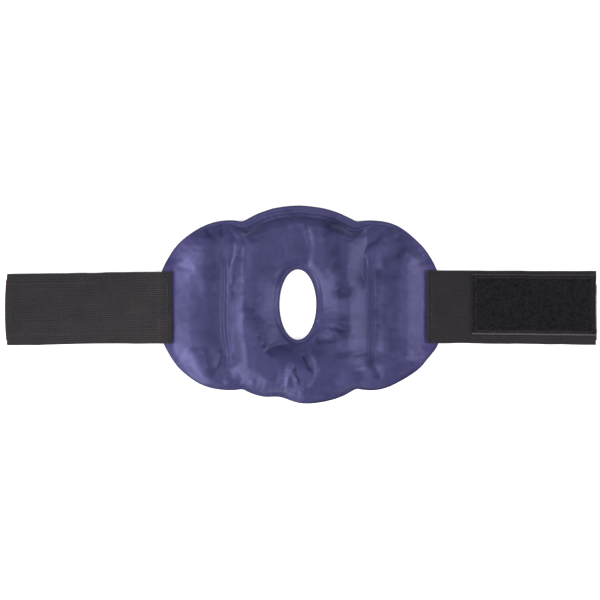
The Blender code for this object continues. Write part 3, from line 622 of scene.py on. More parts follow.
# in the welded bands the two films touch
close = sstep((1.2 - gap) / 1.2)
middle = (Z_FRONT_IN + Z_BACK_IN) / 2
touch = np.where((D_POCKET > 0.5) & (D_MOUTH > 0.5), 0.07, 0.02)
Z_FRONT_IN = Z_FRONT_IN + (middle + touch - Z_FRONT_IN) * close
Z_BACK_IN = Z_BACK_IN + (middle - touch - Z_BACK_IN) * close
# painted shade along the film's cut edges, the opening's edge and two lines at the crown's weld, darkened in the film's
# material
RIM_SHADE = np.exp(-((D_RIM / 0.9) ** 2)) + np.exp(-((D_HOLE / 1.3) ** 2))
RIM_SHADE += 0.42 * CROWN_SHARE * (np.exp(-(((D_POCKET + 0.2) / 0.7) ** 2)) + np.exp(-(((D_POCKET - 4.9) / 0.9) ** 2)))
RIM_SHADE += 0.8 * np.exp(-((D_RIM / 2.2) ** 2)) * sstep((X - 2) / 14) * sstep((-Y - 20) / 30)  # painted shade where the rim turns under
RIM_SHADE = np.clip(RIM_SHADE, 0, 1)
GEL_SHARE = np.maximum(np.clip(H / 3.5, 0, 1) ** 0.8 * INSIDE, 0.85 * sstep((104 - np.abs(X)) / 12))
# painted shade in the creases of the folds, darkened in the film's material
CREASE_SHADE = np.clip(-folds / 1.6, 0, 1) * INSIDE
BACK_TONE = np.clip(1.4 * noise2(ragged_x / 19.0, ragged_y / 26.0, 64), -0.7, 0.7) * INSIDE


# ---- meshes -------------------------------------------------------------------------------
def grid_normals(P, cyclic):
    """Unit normals of a grid of points [rings, columns, 3]."""
    du = np.gradient(P, axis=0)
    dv = (np.roll(P, -1, 1) - np.roll(P, 1, 1)) / 2 if cyclic else np.gradient(P, axis=1)
    n = np.cross(du, dv)
    return n / np.maximum(np.linalg.norm(n, axis=2, keepdims=True), 1e-12)


def add_mesh(name, verts, faces, material):
    mesh = bpy.data.meshes.new(name)
    mesh.from_pydata((verts * MM).tolist(), [], faces)
    mesh.materials.append(material)
    obj = bpy.data.objects.new(name, mesh)
    bpy.context.scene.collection.objects.link(obj)
    return obj


def quads(rows, cols, base=0, flip=False):
    i = np.arange(rows - 1)[:, None] * cols + np.arange(cols - 1)[None] + base
    q = np.stack([i, i + cols, i + cols + 1, i + 1], -1).reshape(-1, 4)
    return q[:, ::-1] if flip else q


def closed_sheet(name, top, bottom, material, normals=None, attributes=(), sharp=40.0):
    """A closed solid between two grids of points [rows, columns, 3], top facing outward."""
    rows, cols = top.shape[:2]
    n = rows * cols
    verts = np.concatenate([top.reshape(-1, 3), bottom.reshape(-1, 3)])
    faces = [quads(rows, cols), quads(rows, cols, n, True)]
    idx = np.arange(n).reshape(rows, cols)

    def wall(line_, flip):
        a, b = line_[:-1], line_[1:]
        q = np.stack([a, b, b + n, a + n], -1)
        return q[:, ::-1] if flip else q

    faces += [wall(idx[0], False), wall(idx[-1], True), wall(idx[:, 0], True), wall(idx[:, -1], False)]
    flat = np.concatenate(faces)
    surface_faces = len(faces[0]) + len(faces[1])
    obj = add_mesh(name, verts, flat.tolist(), material)
    mesh = obj.data
    for key, kind, top_values, bottom_values in attributes:
        attribute = mesh.attributes.new(key, kind, "POINT")
        both = np.concatenate([top_values.reshape(n, -1), bottom_values.reshape(n, -1)])
        attribute.data.foreach_set("vector" if kind == "FLOAT_VECTOR" else "value", both.astype(np.float32).ravel())
    mesh.polygons.foreach_set("use_smooth", np.ones(len(flat), bool))
    if normals is None:
        mesh.set_sharp_from_angle(angle=math.radians(sharp))
    else:
        flags = np.zeros(len(mesh.edges), bool)
        ends = np.zeros(len(mesh.edges) * 2, np.int32)
        mesh.edges.foreach_get("vertices", ends)
        ends = ends.reshape(-1, 2)
        on_edge = np.zeros(2 * n, bool)
        for l in (idx[0], idx[-1], idx[:, 0], idx[:, -1]):
            on_edge[l] = on_edge[l + n] = True
        same = (ends[:, 0] < n) == (ends[:, 1] < n)
        flags[on_edge[ends[:, 0]] & on_edge[ends[:, 1]] & same] = True
        mesh.edges.foreach_set("use_edge_sharp", flags)
        per_vertex = np.concatenate([normals[0].reshape(-1, 3), -normals[1].reshape(-1, 3)])
        loops = np.zeros((len(mesh.loops), 3))
        corner = flat[:surface_faces].ravel()
        loops[: len(corner)] = per_vertex[corner]
        mesh.normals_split_custom_set(loops.tolist())
    return obj


def tubes(name, paths, radii, sides_dir, material, sides=6, attributes=()):
    """Many short closed tubes: paths [n, k, 3], radii [k], one side vector per path."""
    n, k = paths.shape[:2]
    t = np.gradient(paths, axis=1)
    t /= np.maximum(np.linalg.norm(t, axis=2, keepdims=True), 1e-9)
    b = np.repeat(sides_dir[:, None], k, 1).astype(float)
    b -= (b * t).sum(2, keepdims=True) * t
    b /= np.maximum(np.linalg.norm(b, axis=2, keepdims=True), 1e-9)
    c = np.cross(t, b)
    a = np.arange(sides) * 2 * math.pi / sides
    ring = (
        b[:, :, None] * np.cos(a)[None, None, :, None] + c[:, :, None] * np.sin(a)[None, None, :, None]
    ) * np.asarray(radii)[None, :, None, None]
    verts = (paths[:, :, None] + ring).reshape(-1, 3)
    base = np.arange(n) * k * sides
    faces = []
    for i in range(k - 1):
        for j in range(sides):
            p, q = i * sides + j, i * sides + (j + 1) % sides
            faces.append(np.stack([base + p, base + q, base + q + sides, base + p + sides], -1))
    flat = np.concatenate(faces).tolist()
    caps_a = [[b0 + sides - 1 - j for j in range(sides)] for b0 in base.tolist()]
    caps_b = [[b0 + (k - 1) * sides + j for j in range(sides)] for b0 in base.tolist()]
    obj = add_mesh(name, verts, flat + caps_a + caps_b, material)
    for key, values in attributes:
        attribute = obj.data.attributes.new(key, "FLOAT", "POINT")
        attribute.data.foreach_set("value", np.repeat(values, k * sides).astype(np.float32))
    obj.data.polygons.foreach_set("use_smooth", np.ones(len(obj.data.polygons), bool))
    obj.data.update()
    return obj


# ---- materials ----------------------------------------------------------------------------
def linear(r, g, b):
    return tuple((c / 255 / 12.92 if c / 255 <= 0.04045 else ((c / 255 + 0.055) / 1.055) ** 2.4) for c in (r, g, b)) + (1.0,)


class Graph:
    """A short way to write a node material."""

    def __init__(self, name):
        self.mat = bpy.data.materials.new(name)
        self.mat.use_nodes = True
        self.tree = self.mat.node_tree
        self.bsdf = self.tree.nodes["Principled BSDF"]

    def put(self, socket, value):
        if isinstance(value, bpy.types.NodeSocket):
            self.tree.links.new(value, socket)
        elif value is not None:
            socket.default_value = value

    def attribute(self, name, output="Fac"):
        node = self.tree.nodes.new("ShaderNodeAttribute")
        node.attribute_name = name
        return node.outputs[output]

    def position(self, name="rest"):
        return self.attribute(name, "Vector")

    def scale(self, vector, factors):
        node = self.tree.nodes.new("ShaderNodeVectorMath")
        node.operation = "MULTIPLY"
        self.put(node.inputs[0], vector)
        node.inputs[1].default_value = factors
        return node.outputs[0]

    def axis(self, vector, index):
        node = self.tree.nodes.new("ShaderNodeSeparateXYZ")
        self.put(node.inputs[0], vector)
        return node.outputs[index]

    def noise(self, vector, scale, detail=3.0, rough=0.5, distortion=0.0):
        node = self.tree.nodes.new("ShaderNodeTexNoise")
        self.put(node.inputs["Vector"], vector)
        node.inputs["Scale"].default_value = scale
        node.inputs["Detail"].default_value = detail
        node.inputs["Roughness"].default_value = rough
        node.inputs["Distortion"].default_value = distortion
        return node.outputs["Fac"]

    def cells(self, vector, scale, feature="F1"):
        node = self.tree.nodes.new("ShaderNodeTexVoronoi")
        node.feature = feature
        self.put(node.inputs["Vector"], vector)
        node.inputs["Scale"].default_value = scale
        return node.outputs["Distance"]

    def math(self, op, a, b=None, c=None):
        node = self.tree.nodes.new("ShaderNodeMath")
        node.operation = op
        for socket, value in zip(node.inputs, (a, b, c)):
            self.put(socket, value)
        return node.outputs[0]

    def remap(self, value, a, b, c=0.0, d=1.0, smooth=False):
        node = self.tree.nodes.new("ShaderNodeMapRange")
        node.interpolation_type = "SMOOTHSTEP" if smooth else "LINEAR"
        for socket, v in zip(node.inputs[:5], (value, a, b, c, d)):
            self.put(socket, v)
        return node.outputs[0]

    def mix(self, factor, a, b, mode="MIX"):
        node = self.tree.nodes.new("ShaderNodeMix")
        node.data_type = "RGBA"
        node.blend_type = mode
        self.put(node.inputs[0], factor)
        self.put(node.inputs[6], a)
        self.put(node.inputs[7], b)
        return node.outputs[2]

    def bump(self, height, strength, distance, normal=None):
        node = self.tree.nodes.new("ShaderNodeBump")
        node.inputs["Strength"].default_value = strength
        node.inputs["Distance"].default_value = distance
        self.put(node.inputs["Height"], height)
        if normal is not None:
            self.put(node.inputs["Normal"], normal)
        return node.outputs[0]

    def finish(self, **inputs):
        for key, value in inputs.items():
            self.put(self.bsdf.inputs[key.replace("_", " ")], value)
        return self.mat


def vinyl(name, chamber, flange, deep, light_tone_and_highlight, roughness):
    g = Graph(name)
    p = g.position()
    gel = g.attribute("gel")
    crease = g.attribute("crease")
    cloud = g.noise(p, 0.035, 4.0, 0.55, 0.6)
    mottle = g.noise(p, 0.22, 3.0, 0.6)
    grain = g.noise(p, 3.4, 4.0, 0.65)
    pores = g.cells(p, 2.1)
    scuff = g.noise(g.scale(p, (0.9, 0.12, 0.9)), 0.6, 5.0, 0.7, 1.2)
    share = g.math("MULTIPLY_ADD", g.math("SUBTRACT", cloud, 0.5), 0.7, gel)
    colour = g.mix(g.remap(share, 0.05, 0.95, smooth=True), flange, chamber)
    painted_light_and_tone = g.attribute("painted_light_and_tone")
    # painted shade: the creases are darkened towards deep
    colour = g.mix(g.remap(crease, 0.15, 1.0, 0.0, 0.35), colour, deep)
    # lighter tone with painted highlight, then darker tone with painted shade
    colour = g.mix(g.remap(painted_light_and_tone, 0.08, 1.0, 0.0, 1.0), colour, light_tone_and_highlight)
    colour = g.mix(g.remap(painted_light_and_tone, -0.06, -0.9, 0.0, 1.0), colour, deep)
    # painted shade along the film's edges and weld lines
    colour = g.mix(g.remap(g.attribute("rim_shade"), 0.1, 1.0, 0.0, 0.85), colour, linear(34, 32, 56))
    tint = g.mix(g.remap(cloud, 0.3, 0.7), linear(214, 212, 226), linear(255, 255, 255))
    colour = g.mix(1.0, colour, tint, "MULTIPLY")
    tint2 = g.mix(g.remap(mottle, 0.3, 0.7), linear(236, 236, 240), linear(255, 255, 255))
    colour = g.mix(1.0, colour, tint2, "MULTIPLY")
    rough = g.math("MULTIPLY_ADD", g.math("SUBTRACT", mottle, 0.5), 0.14, roughness)
    rough = g.math("MULTIPLY_ADD", g.remap(scuff, 0.58, 0.8), 0.09, rough)
    n1 = g.bump(mottle, 0.28, 0.0005)
    n2 = g.bump(grain, 0.22, 0.00006, n1)
    n3 = g.bump(pores, 0.10, 0.00005, n2)
    return g.finish(
        Base_Color=colour,
        Roughness=rough,
        Normal=n3,
        IOR=1.5,
        Specular_IOR_Level=g.remap(painted_light_and_tone, -1.0, 0.7, 0.40, 0.75),
        Specular_Tint=(0.52, 0.51, 0.95, 1.0),
    )


def webbing(name, crest, valley_shade, warm, far):
    """Ribbed elastic: ribs are geometry; knit and yarns come from here. rest = (along, across, 0)."""
    g = Graph(name)
    p = g.position()
    u, v = g.axis(p, 0), g.axis(p, 1)
    rib = g.math("ABSOLUTE", g.math("SINE", g.math("MULTIPLY", v, math.pi / RIB)))
    row = g.math("FLOOR", g.math("DIVIDE", v, RIB))
    phase = g.math("MULTIPLY", g.math("MODULO", row, 2.0), math.pi)
    knit = g.math("SINE", g.math("ADD", g.math("MULTIPLY", u, 2 * math.pi / 1.55), phase))
    knit = g.remap(knit, -1, 1)
    fine = g.math("SINE", g.math("MULTIPLY", g.math("ADD", u, g.math("MULTIPLY", v, 0.6)), 2 * math.pi / 0.42))
    yarn = g.noise(g.scale(p, (2.6, 7.0, 1.0)), 1.0, 3.0, 0.6)
    cloud = g.noise(p, 0.05, 3.0, 0.5)
    streak = g.noise(g.scale(p, (0.02, 1.3, 1.0)), 1.0, 2.0, 0.5)
    # painted shade: the rib valleys, and the rib crests between knit stitches, are darkened towards the valley colour
    colour = g.mix(g.math("MULTIPLY", rib, g.remap(knit, 0, 1, 0.55, 1.0)), valley_shade, crest)
    colour = g.mix(g.remap(streak, 0.3, 0.7, 0.0, 0.6), colour, warm)
    light = g.mix(g.remap(yarn, 0.25, 0.75), linear(178, 178, 178), linear(255, 255, 255))
    colour = g.mix(1.0, colour, light, "MULTIPLY")
    light = g.mix(g.remap(cloud, 0.35, 0.65), linear(222, 226, 230), linear(255, 250, 250))
    colour = g.mix(1.0, colour, light, "MULTIPLY")
    fleck = g.noise(g.scale(p, (0.8, 1.1, 1.0)), 1.0, 2.0, 0.7)
    light = g.mix(g.remap(fleck, 0.36, 0.66), linear(168, 168, 172), linear(255, 255, 255))
    colour = g.mix(1.0, colour, light, "MULTIPLY")
    light = g.mix(g.remap(v, 0.0, 63.5), linear(255, 250, 252), linear(224, 228, 230))
    colour = g.mix(1.0, colour, light, "MULTIPLY")
    light = g.mix(g.remap(u, 30.0, 150.0), linear(255, 255, 255), linear(*far))
    colour = g.mix(1.0, colour, light, "MULTIPLY")
    n1 = g.bump(knit, 0.55, 0.00022)
    n2 = g.bump(g.remap(fine, -1, 1), 0.35, 0.00008, n1)
    n3 = g.bump(yarn, 0.5, 0.00012, n2)
    return g.finish(
        Base_Color=colour, Roughness=0.82, Normal=n3, Specular_IOR_Level=0.28, Sheen_Weight=0.12, Sheen_Roughness=0.5
    )


def pile(name, dark, light):
    g = Graph(name)
    p = g.position()
    fuzz = g.noise(p, 2.3, 5.0, 0.75)
    clump = g.noise(p, 0.7, 4.0, 0.6, 0.8)
    colour = g.mix(g.math("MULTIPLY", g.remap(fuzz, 0.35, 0.75, 0.3, 1.0), g.remap(clump, 0.35, 0.68, 0.1, 1.0)), dark, light)
    colour = g.mix(g.math("MULTIPLY", g.attribute("edge"), g.remap(clump, 0.3, 0.6, 0.4, 1.0)), colour, linear(84, 79, 86))
    n1 = g.bump(fuzz, 0.8, 0.0003)
    n2 = g.bump(clump, 0.5, 0.0005, n1)
    return g.finish(Base_Color=colour, Roughness=0.95, Normal=n2, Specular_IOR_Level=0.12, Sheen_Weight=0.06, Sheen_Roughness=0.6)


def fibre(name, a, b, roughness, specular=0.3):
    g = Graph(name)
    shade = g.attribute("shade")
    p = g.tree.nodes.new("ShaderNodeTexCoord").outputs["Object"]
    grain = g.noise(p, 2600.0, 3.0, 0.6)
    colour = g.mix(shade, a, b)
    tint = g.mix(g.remap(grain, 0.3, 0.7), linear(190, 190, 190), linear(255, 255, 255))
    colour = g.mix(1.0, colour, tint, "MULTIPLY")
    n1 = g.bump(grain, 0.5, 0.00006)
    return g.finish(Base_Color=colour, Roughness=roughness, Normal=n1, Specular_IOR_Level=specular)


def hook_plastic(name):
    g = Graph(name)
    p = g.tree.nodes.new("ShaderNodeTexCoord").outputs["Object"]
    fine = g.noise(p, 900.0, 3.0, 0.6)
    wide = g.noise(p, 90.0, 2.0, 0.5)
    colour = g.mix(g.remap(wide, 0.3, 0.7), linear(24, 24, 27), linear(36, 36, 40))
    return g.finish(
        Base_Color=colour, Roughness=g.remap(fine, 0.3, 0.7, 0.42, 0.6), Normal=g.bump(fine, 0.3, 0.00008), Specular_IOR_Level=0.45
    )


def gel_matter(name):
    g = Graph(name)
    p = g.position()
    swirl = g.noise(p, 0.09, 4.0, 0.6, 1.5)
    bubble = g.cells(p, 0.35)
    colour = g.mix(g.remap(swirl, 0.3, 0.7), linear(38, 52, 128), linear(78, 96, 178))
    colour = g.mix(g.remap(bubble, 0.12, 0.2, 0.7, 0.0), colour, linear(150, 170, 225))
    n1 = g.bump(g.remap(bubble, 0.1, 0.25), 0.4, 0.0004)
    n2 = g.bump(swirl, 0.3, 0.0008, n1)
    return g.finish(Base_Color=colour, Roughness=g.remap(swirl, 0.3, 0.7, 0.12, 0.3), Normal=n2, Transmission_Weight=0.25, IOR=1.4)


RIB = 1.815  # pitch of the elastic's ribs
VINYL = vinyl("vinyl_front", linear(61, 60, 98), linear(66, 61, 106), linear(31, 31, 64), linear(86, 84, 128), 0.42)
VINYL_BACK = vinyl("vinyl_back", linear(59, 58, 95), linear(64, 59, 103), linear(48, 47, 80), linear(72, 70, 112), 0.45)
# the right strap's elastic is a darker copy of the left strap's: painted shade
ELASTIC = {
    "left": webbing("ribbed_elastic_left", linear(92, 84, 89), linear(24, 22, 26), linear(64, 57, 58), (230, 232, 236)),
    "right": webbing("ribbed_elastic_right_shaded", linear(76, 69, 76), linear(22, 19, 24), linear(52, 45, 50), (255, 255, 255)),
}
PILE = pile("loop_pile", linear(9, 8, 11), linear(46, 43, 50))
LOOPS = fibre("loop_fibre", linear(7, 6, 9), linear(62, 58, 66), 0.85, 0.12)
THREAD = fibre("sewing_thread", linear(52, 50, 53), linear(84, 80, 84), 0.75)
RED = fibre("cut_edge_thread", linear(92, 24, 32), linear(124, 44, 50), 0.8)
HOOK = hook_plastic("hook_plastic")
GEL = gel_matter("blue_gel")

# ---- the two films and the gel between them -----------------------------------------------
REST = np.stack([X, Y, 0 * X], -1)
FRONT = np.stack([X, Y, Z_FRONT], -1)
BACK = np.stack([X, Y, Z_BACK], -1)
N_FRONT, N_BACK = grid_normals(FRONT, True), grid_normals(BACK, True)
# the inner face of each film lies straight in from its outer face along z, at least 0.28 mm away; steep is worked out
# but not used
steep = np.clip(N_FRONT[..., 2:3], 0.45, 1)
FRONT_IN = np.stack([X, Y, np.minimum(Z_FRONT_IN, Z_FRONT - 0.28)], -1)
BACK_IN = np.stack([X, Y, np.maximum(Z_BACK_IN, Z_BACK + 0.28)], -1)
BOTH_IN = [grid_normals(FRONT_IN, True), grid_normals(BACK_IN, True)]

COLS = {"right": np.arange(0, half + 1), "left": np.arange(half, COLUMNS + 1) % COLUMNS}
for word, side in (("right", 1), ("left", -1)):
    c = COLS[word]

    def lip(grid, drop):
        """The left half reaches a hair under the right half, so that no light shows between."""
        g_ = grid[:, c]
        if side > 0:
            return g_
        a, b = g_[:, :1].copy(), g_[:, -1:].copy()
        if grid.ndim == 3 and drop is not None:
            for end_, near_ in ((a, half - 1), (b, 1)):
                toward = grid[:, near_ : near_ + 1] - end_
                end_ += toward * (0.22 / toward[..., :1]) + np.array([0.0, 0.0, drop])
        return np.concatenate([a, g_, b], 1)

    def put(obj, *nodes, slot):
        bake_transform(obj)
        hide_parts(*nodes)

    film = closed_sheet(
        "front_film_sheet_" + word,
        lip(FRONT, -0.05),
        lip(FRONT_IN, -0.01),
        VINYL,
        normals=(lip(N_FRONT, None), lip(BOTH_IN[0], None)),
        attributes=(
            ("rest", "FLOAT_VECTOR", lip(REST, None), lip(REST, None)),
            ("gel", "FLOAT", lip(GEL_SHARE, None), lip(GEL_SHARE, None)),
            ("crease", "FLOAT", lip(CREASE_SHADE, None), lip(0 * CREASE_SHADE, None)),
            ("painted_light_and_tone", "FLOAT", lip(PAINTED_LIGHT_AND_TONE, None), lip(0 * PAINTED_LIGHT_AND_TONE, None)),
            ("rim_shade", "FLOAT", lip(RIM_SHADE, None), lip(RIM_SHADE, None)),
        ),
    )
    put(film, "front_film_centre", "front_film_" + word, slot="front_film")
    film = closed_sheet(
        "back_film_sheet_" + word,
        lip(BACK_IN, 0.01),
        lip(BACK, 0.05),
        VINYL_BACK,
        normals=(lip(BOTH_IN[1], None), lip(N_BACK, None)),
        attributes=(
            ("rest", "FLOAT_VECTOR", lip(REST, None) + 300, lip(REST, None) + 300),
            ("gel", "FLOAT", lip(GEL_SHARE, None), lip(GEL_SHARE, None)),
            ("crease", "FLOAT", lip(0 * CREASE_SHADE, None), lip(0 * CREASE_SHADE, None)),
            ("painted_light_and_tone", "FLOAT", lip(0 * PAINTED_LIGHT_AND_TONE, None), lip(BACK_TONE, None)),
            ("rim_shade", "FLOAT", lip(RIM_SHADE, None), lip(RIM_SHADE, None)),
        ),
    )
    put(film, "back_film_centre", "back_film_" + word, slot="back_film")

    # the gel fills the pocket just inside both films
    rows = np.arange(0, RINGS, 2)
    g_in = (D_MOUTH > 0.6) & (D_POCKET > 0.6)
    part = c[::2] if len(c[::2]) * 2 - 1 == len(c) else np.concatenate([c[::2], c[-1:]])
    gx, gy, top, low = [], [], [], []
    levels = np.linspace(0, 1, 46)
    for k in part:
        ok = np.where(g_in[:, k])[0]
        a, b = ok[0], ok[-1]
        s = a + (b - a) * levels
        pick = lambda arr: np.interp(s, np.arange(RINGS), arr[:, k])
        gx.append(pick(X))
        gy.append(pick(Y))
        t, l = pick(Z_FRONT_IN) - 0.16, pick(Z_BACK_IN) + 0.16
        m, h = (t + l) / 2, np.maximum((t - l) / 2 - 0.1, 0.01)
        h = h * (0.15 + 0.85 * ease(np.minimum(levels, 1 - levels) / 0.06, 2.0))
        top.append(m + h)
        low.append(m - h)
    gx, gy, top, low = (np.array(q).T for q in (gx, gy, top, low))
    rest = np.stack([gx, gy, top], -1)
    matter = closed_sheet(
        "gel_fill_" + word,
        np.stack([gx, gy, top], -1),
        np.stack([gx, gy, low], -1),
        GEL,
        attributes=(("rest", "FLOAT_VECTOR", rest, rest),),
    )
    put(matter, "gel_centre", "gel_" + word, slot="gel")

# ---- the straps ---------------------------------------------------------------------------
STRAP_LOW, STRAP_HIGH = box("left_strap_end")
STRAP_W = STRAP_HIGH[1] - STRAP_LOW[1]
STRAP_T = STRAP_HIGH[2] - STRAP_LOW[2]
STRAP_Y = (STRAP_HIGH[1] + STRAP_LOW[1]) / 2
HEM_LOW_BOX, HEM_HIGH_BOX = box("right_strap_hem")
HEM_X = HEM_LOW_BOX[0] + 1.2  # the fold is soft, so it starts a little further out
HEM_TOP = HEM_HIGH_BOX[2]
LAYER_LOW = FRONT_FLANGE + 0.3 + STRAP_T / 2
LAYER_HIGH = HEM_TOP - STRAP_T / 2
TIP = {"left": -box("left_strap_end")[0][0], "right": box("right_strap_end")[1][0]}
HINGE = {w: anchor(w + "_strap_fold") for w in ("left", "right")}
END = {w: anchor(w + "_end_fold") for w in ("left", "right")}
SEAM_X = 117.0


def strap_line(word):
    """Centre line of one strap as (|x|, z), from the tucked end round the fold to the tip."""
    hx, hz = abs(HINGE[word][0]), HINGE[word][2]
    ex, ez = abs(END[word][0]), END[word][2]
    r = (LAYER_HIGH - LAYER_LOW) / 2
    fx = HEM_X + r + STRAP_T / 2
    pts = [(HEM_X + 10.3, LAYER_LOW), (HEM_X + 6, LAYER_LOW), (fx + 1.5, LAYER_LOW)]
    pts += [
        (fx - r * math.sin(math.pi * i / 10), (LAYER_LOW + LAYER_HIGH) / 2 - r * math.cos(math.pi * i / 10))
        for i in range(11)
    ]
    pts += [(fx + 1.5, LAYER_HIGH), (SEAM_X - 1.6, LAYER_HIGH - 0.02), (SEAM_X, LAYER_HIGH - 0.14), (SEAM_X + 1.6, LAYER_HIGH - 0.02)]
    pts += [(HEM_X + 9.6, LAYER_HIGH - 0.03), (HEM_X + 12.6, LAYER_LOW + 0.75), (HEM_X + 15.2, hz + 0.06), (hx, hz)]
    n = 5
    pts += [(hx + (ex - hx) * i / n, hz + (ez - hz) * i / n) for i in range(1, n)]
    pts += [(ex - 1.2, ez + 0.22), (ex, ez + 0.08), (ex + 1.8, ez), (ex + 6, ez)]
    x = ex + 6
    while x < TIP[word] - 8:
        x += 6
        pts.append((x, ez))
    pts.append((TIP[word], ez))
    path = spline(pts, 12)
    step = np.hypot(*np.diff(path, axis=0).T)
    keep = np.concatenate([[True], step > 1e-6])
    path = path[keep]
    s = np.concatenate([[0], np.cumsum(np.hypot(*np.diff(path, axis=0).T))])
    return path, s


def strap_warp(word, x, v):
    """Where a point v across the strap really lies: the straps run a little askew."""
    t = np.clip((x - HEM_X) / (TIP[word] - HEM_X), 0, 1)
    if word == "left":
        centre = -2.0 - 1.9 * t**1.3
        width = 1.0 + 0.006 * np.sin(t * 9) * t
    else:
        centre = -1.3 - 1.1 * t
        width = (64.2 + 1.7 * t) / 63.5
    ripple = 0.22 * noise2(x / 13.0, np.sign(v) * 3.0 + 5.0, 81 if word == "left" else 82) * (np.abs(v) / 31.75) ** 3
    return centre + v * width + ripple


V = []
for k in range(35):
    V += [(k + f) * RIB for f in (0.0, 0.14, 0.32, 0.5, 0.68, 0.86)]
V = np.array(V + [35 * RIB]) - 35 * RIB / 2
V = V * (STRAP_W / 2) / V[-1]
edge_in = np.clip((STRAP_W / 2 - np.abs(V)) / 0.9, 0, 1)
V_HALF = np.sqrt(np.clip(1 - (1 - edge_in) ** 2, 0, 1)) * 0.8 + 0.2
V_RIB = -(1 - np.abs(np.sin(np.pi * (V + STRAP_W / 2) / RIB)) ** 0.8) * np.clip(edge_in, 0, 1)


def strap_piece(name, word, s, path, run, tip=False):
    """A length of strap between two stations of its centre line, as a closed ribbed solid."""
    side = 1 if word == "right" else -1
    x, z = np.interp(s, run, path[:, 0]), np.interp(s, run, path[:, 1])
    e = 0.15
    tx = np.interp(s + e, run, path[:, 0]) - np.interp(s - e, run, path[:, 0])
    tz = np.interp(s + e, run, path[:, 1]) - np.interp(s - e, run, path[:, 1])
    n = np.hypot(tx, tz)
    tx, tz = tx / n, tz / n
    sx, vv = np.meshgrid(x, V, indexing="ij")
    s2 = np.repeat(s[:, None], len(V), 1)
    knit = 0.035 * np.sin(2 * math.pi * s2 / 3.1 + np.floor((vv + STRAP_W / 2) / RIB) * math.pi)
    curl = 0.18 * noise2(s2 / 16.0, vv / 20.0, 91) * sstep((sx - 135) / 30)
    h = STRAP_T / 2 * V_HALF[None] + 0.26 * V_RIB[None] + knit * edge_in[None]
    if tip:
        near_tip = np.clip((s[-1] - s2) / 0.8, 0, 1)
        h = h * (0.35 + 0.65 * np.sqrt(1 - (1 - near_tip) ** 2))
    push = np.zeros_like(sx)
    if word == "left":
        push = sstep((sx - 240) / 20) * (0.5 - 1.6 * (vv / 31.75) ** 2)
    else:
        push = sstep((sx - 245) / 18) * 0.35 * noise2(vv / 5.0, 0 * vv, 95)
    cx = sx + push
    zc = np.repeat(z[:, None], len(V), 1) + np.maximum(curl, -0.05) * 0.6
    y = strap_warp(word, sx, vv)
    nx, nz = np.repeat(-tz[:, None], len(V), 1), np.repeat(tx[:, None], len(V), 1)
    outer = np.stack([side * (cx + nx * h), y, zc + nz * h], -1)
    inner_ = np.stack([side * (cx - nx * h), y, zc - nz * h], -1)
    rest_top = np.stack([s2, vv + STRAP_W / 2, 0 * vv], -1)
    rest_low = rest_top + np.array([37.0, 0.0, 5.0])
    if side < 0:
        outer, inner_, rest_top, rest_low = (q[:, ::-1] for q in (outer, inner_, rest_top, rest_low))
    obj = closed_sheet(
        name, outer, inner_, ELASTIC[word], attributes=(("rest", "FLOAT_VECTOR", rest_top, rest_low),), sharp=62.0
    )
    return obj


def surface_z(word, x, v=0.0):
    """Height of the strap's upper face over |x| on its outer run."""
    path, run = strap_line(word)
    out = path[:, 0] >= HEM_X
    order = run > run[np.argmin(path[:, 0])]
    return np.interp(x, path[order, 0], path[order, 1]) + STRAP_T / 2


for word, side in (("left", -1), ("right", 1)):
    path, run = strap_line(word)
    turn = run[np.argmin(path[:, 0])]
    outward = run > turn

    def station(x):
        return float(np.interp(x, path[outward, 0], run[outward]))

    hx, ex = abs(HINGE[word][0]), abs(END[word][0])
    near_x, far_x = hx + 3.6, ex - 3.6
    step = 0.62
    stations = [run[0], station(near_x), station(far_x), run[-1]]
    s_near = np.linspace(stations[0], stations[1], int((stations[1] - stations[0]) / step) + 2)
    s_mid = np.linspace(stations[1], stations[2], int((stations[2] - stations[1]) / step) + 2)
    s_far = np.linspace(stations[2], stations[3], int((stations[3] - stations[2]) / (step * 1.5)) + 2)
    near = strap_piece(word + "_strap_near", word, s_near, path, run)
    mid = strap_piece(word + "_strap_stretch", word, s_mid, path, run)
    far = strap_piece(word + "_strap_far", word, s_far, path, run, tip=True)
    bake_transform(near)
    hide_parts(word + "_strap_hem")
    a = (side * near_x * MM, STRAP_Y * MM, float(np.interp(stations[1], run, path[:, 1])) * MM)
    b = (side * far_x * MM, STRAP_Y * MM, float(np.interp(stations[2], run, path[:, 1])) * MM)
    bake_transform(mid)
    co = np.zeros(len(mid.data.vertices) * 3)
    mid.data.vertices.foreach_get("co", co)
    co = co.reshape(-1, 3)
    w = np.clip((np.abs(co[:, 0]) * 1000 - near_x) / (far_x - near_x), 0, 1)
    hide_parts(word + "_elastic_inner", word + "_elastic_outer")
    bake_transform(far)
    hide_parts(word + "_strap_end")


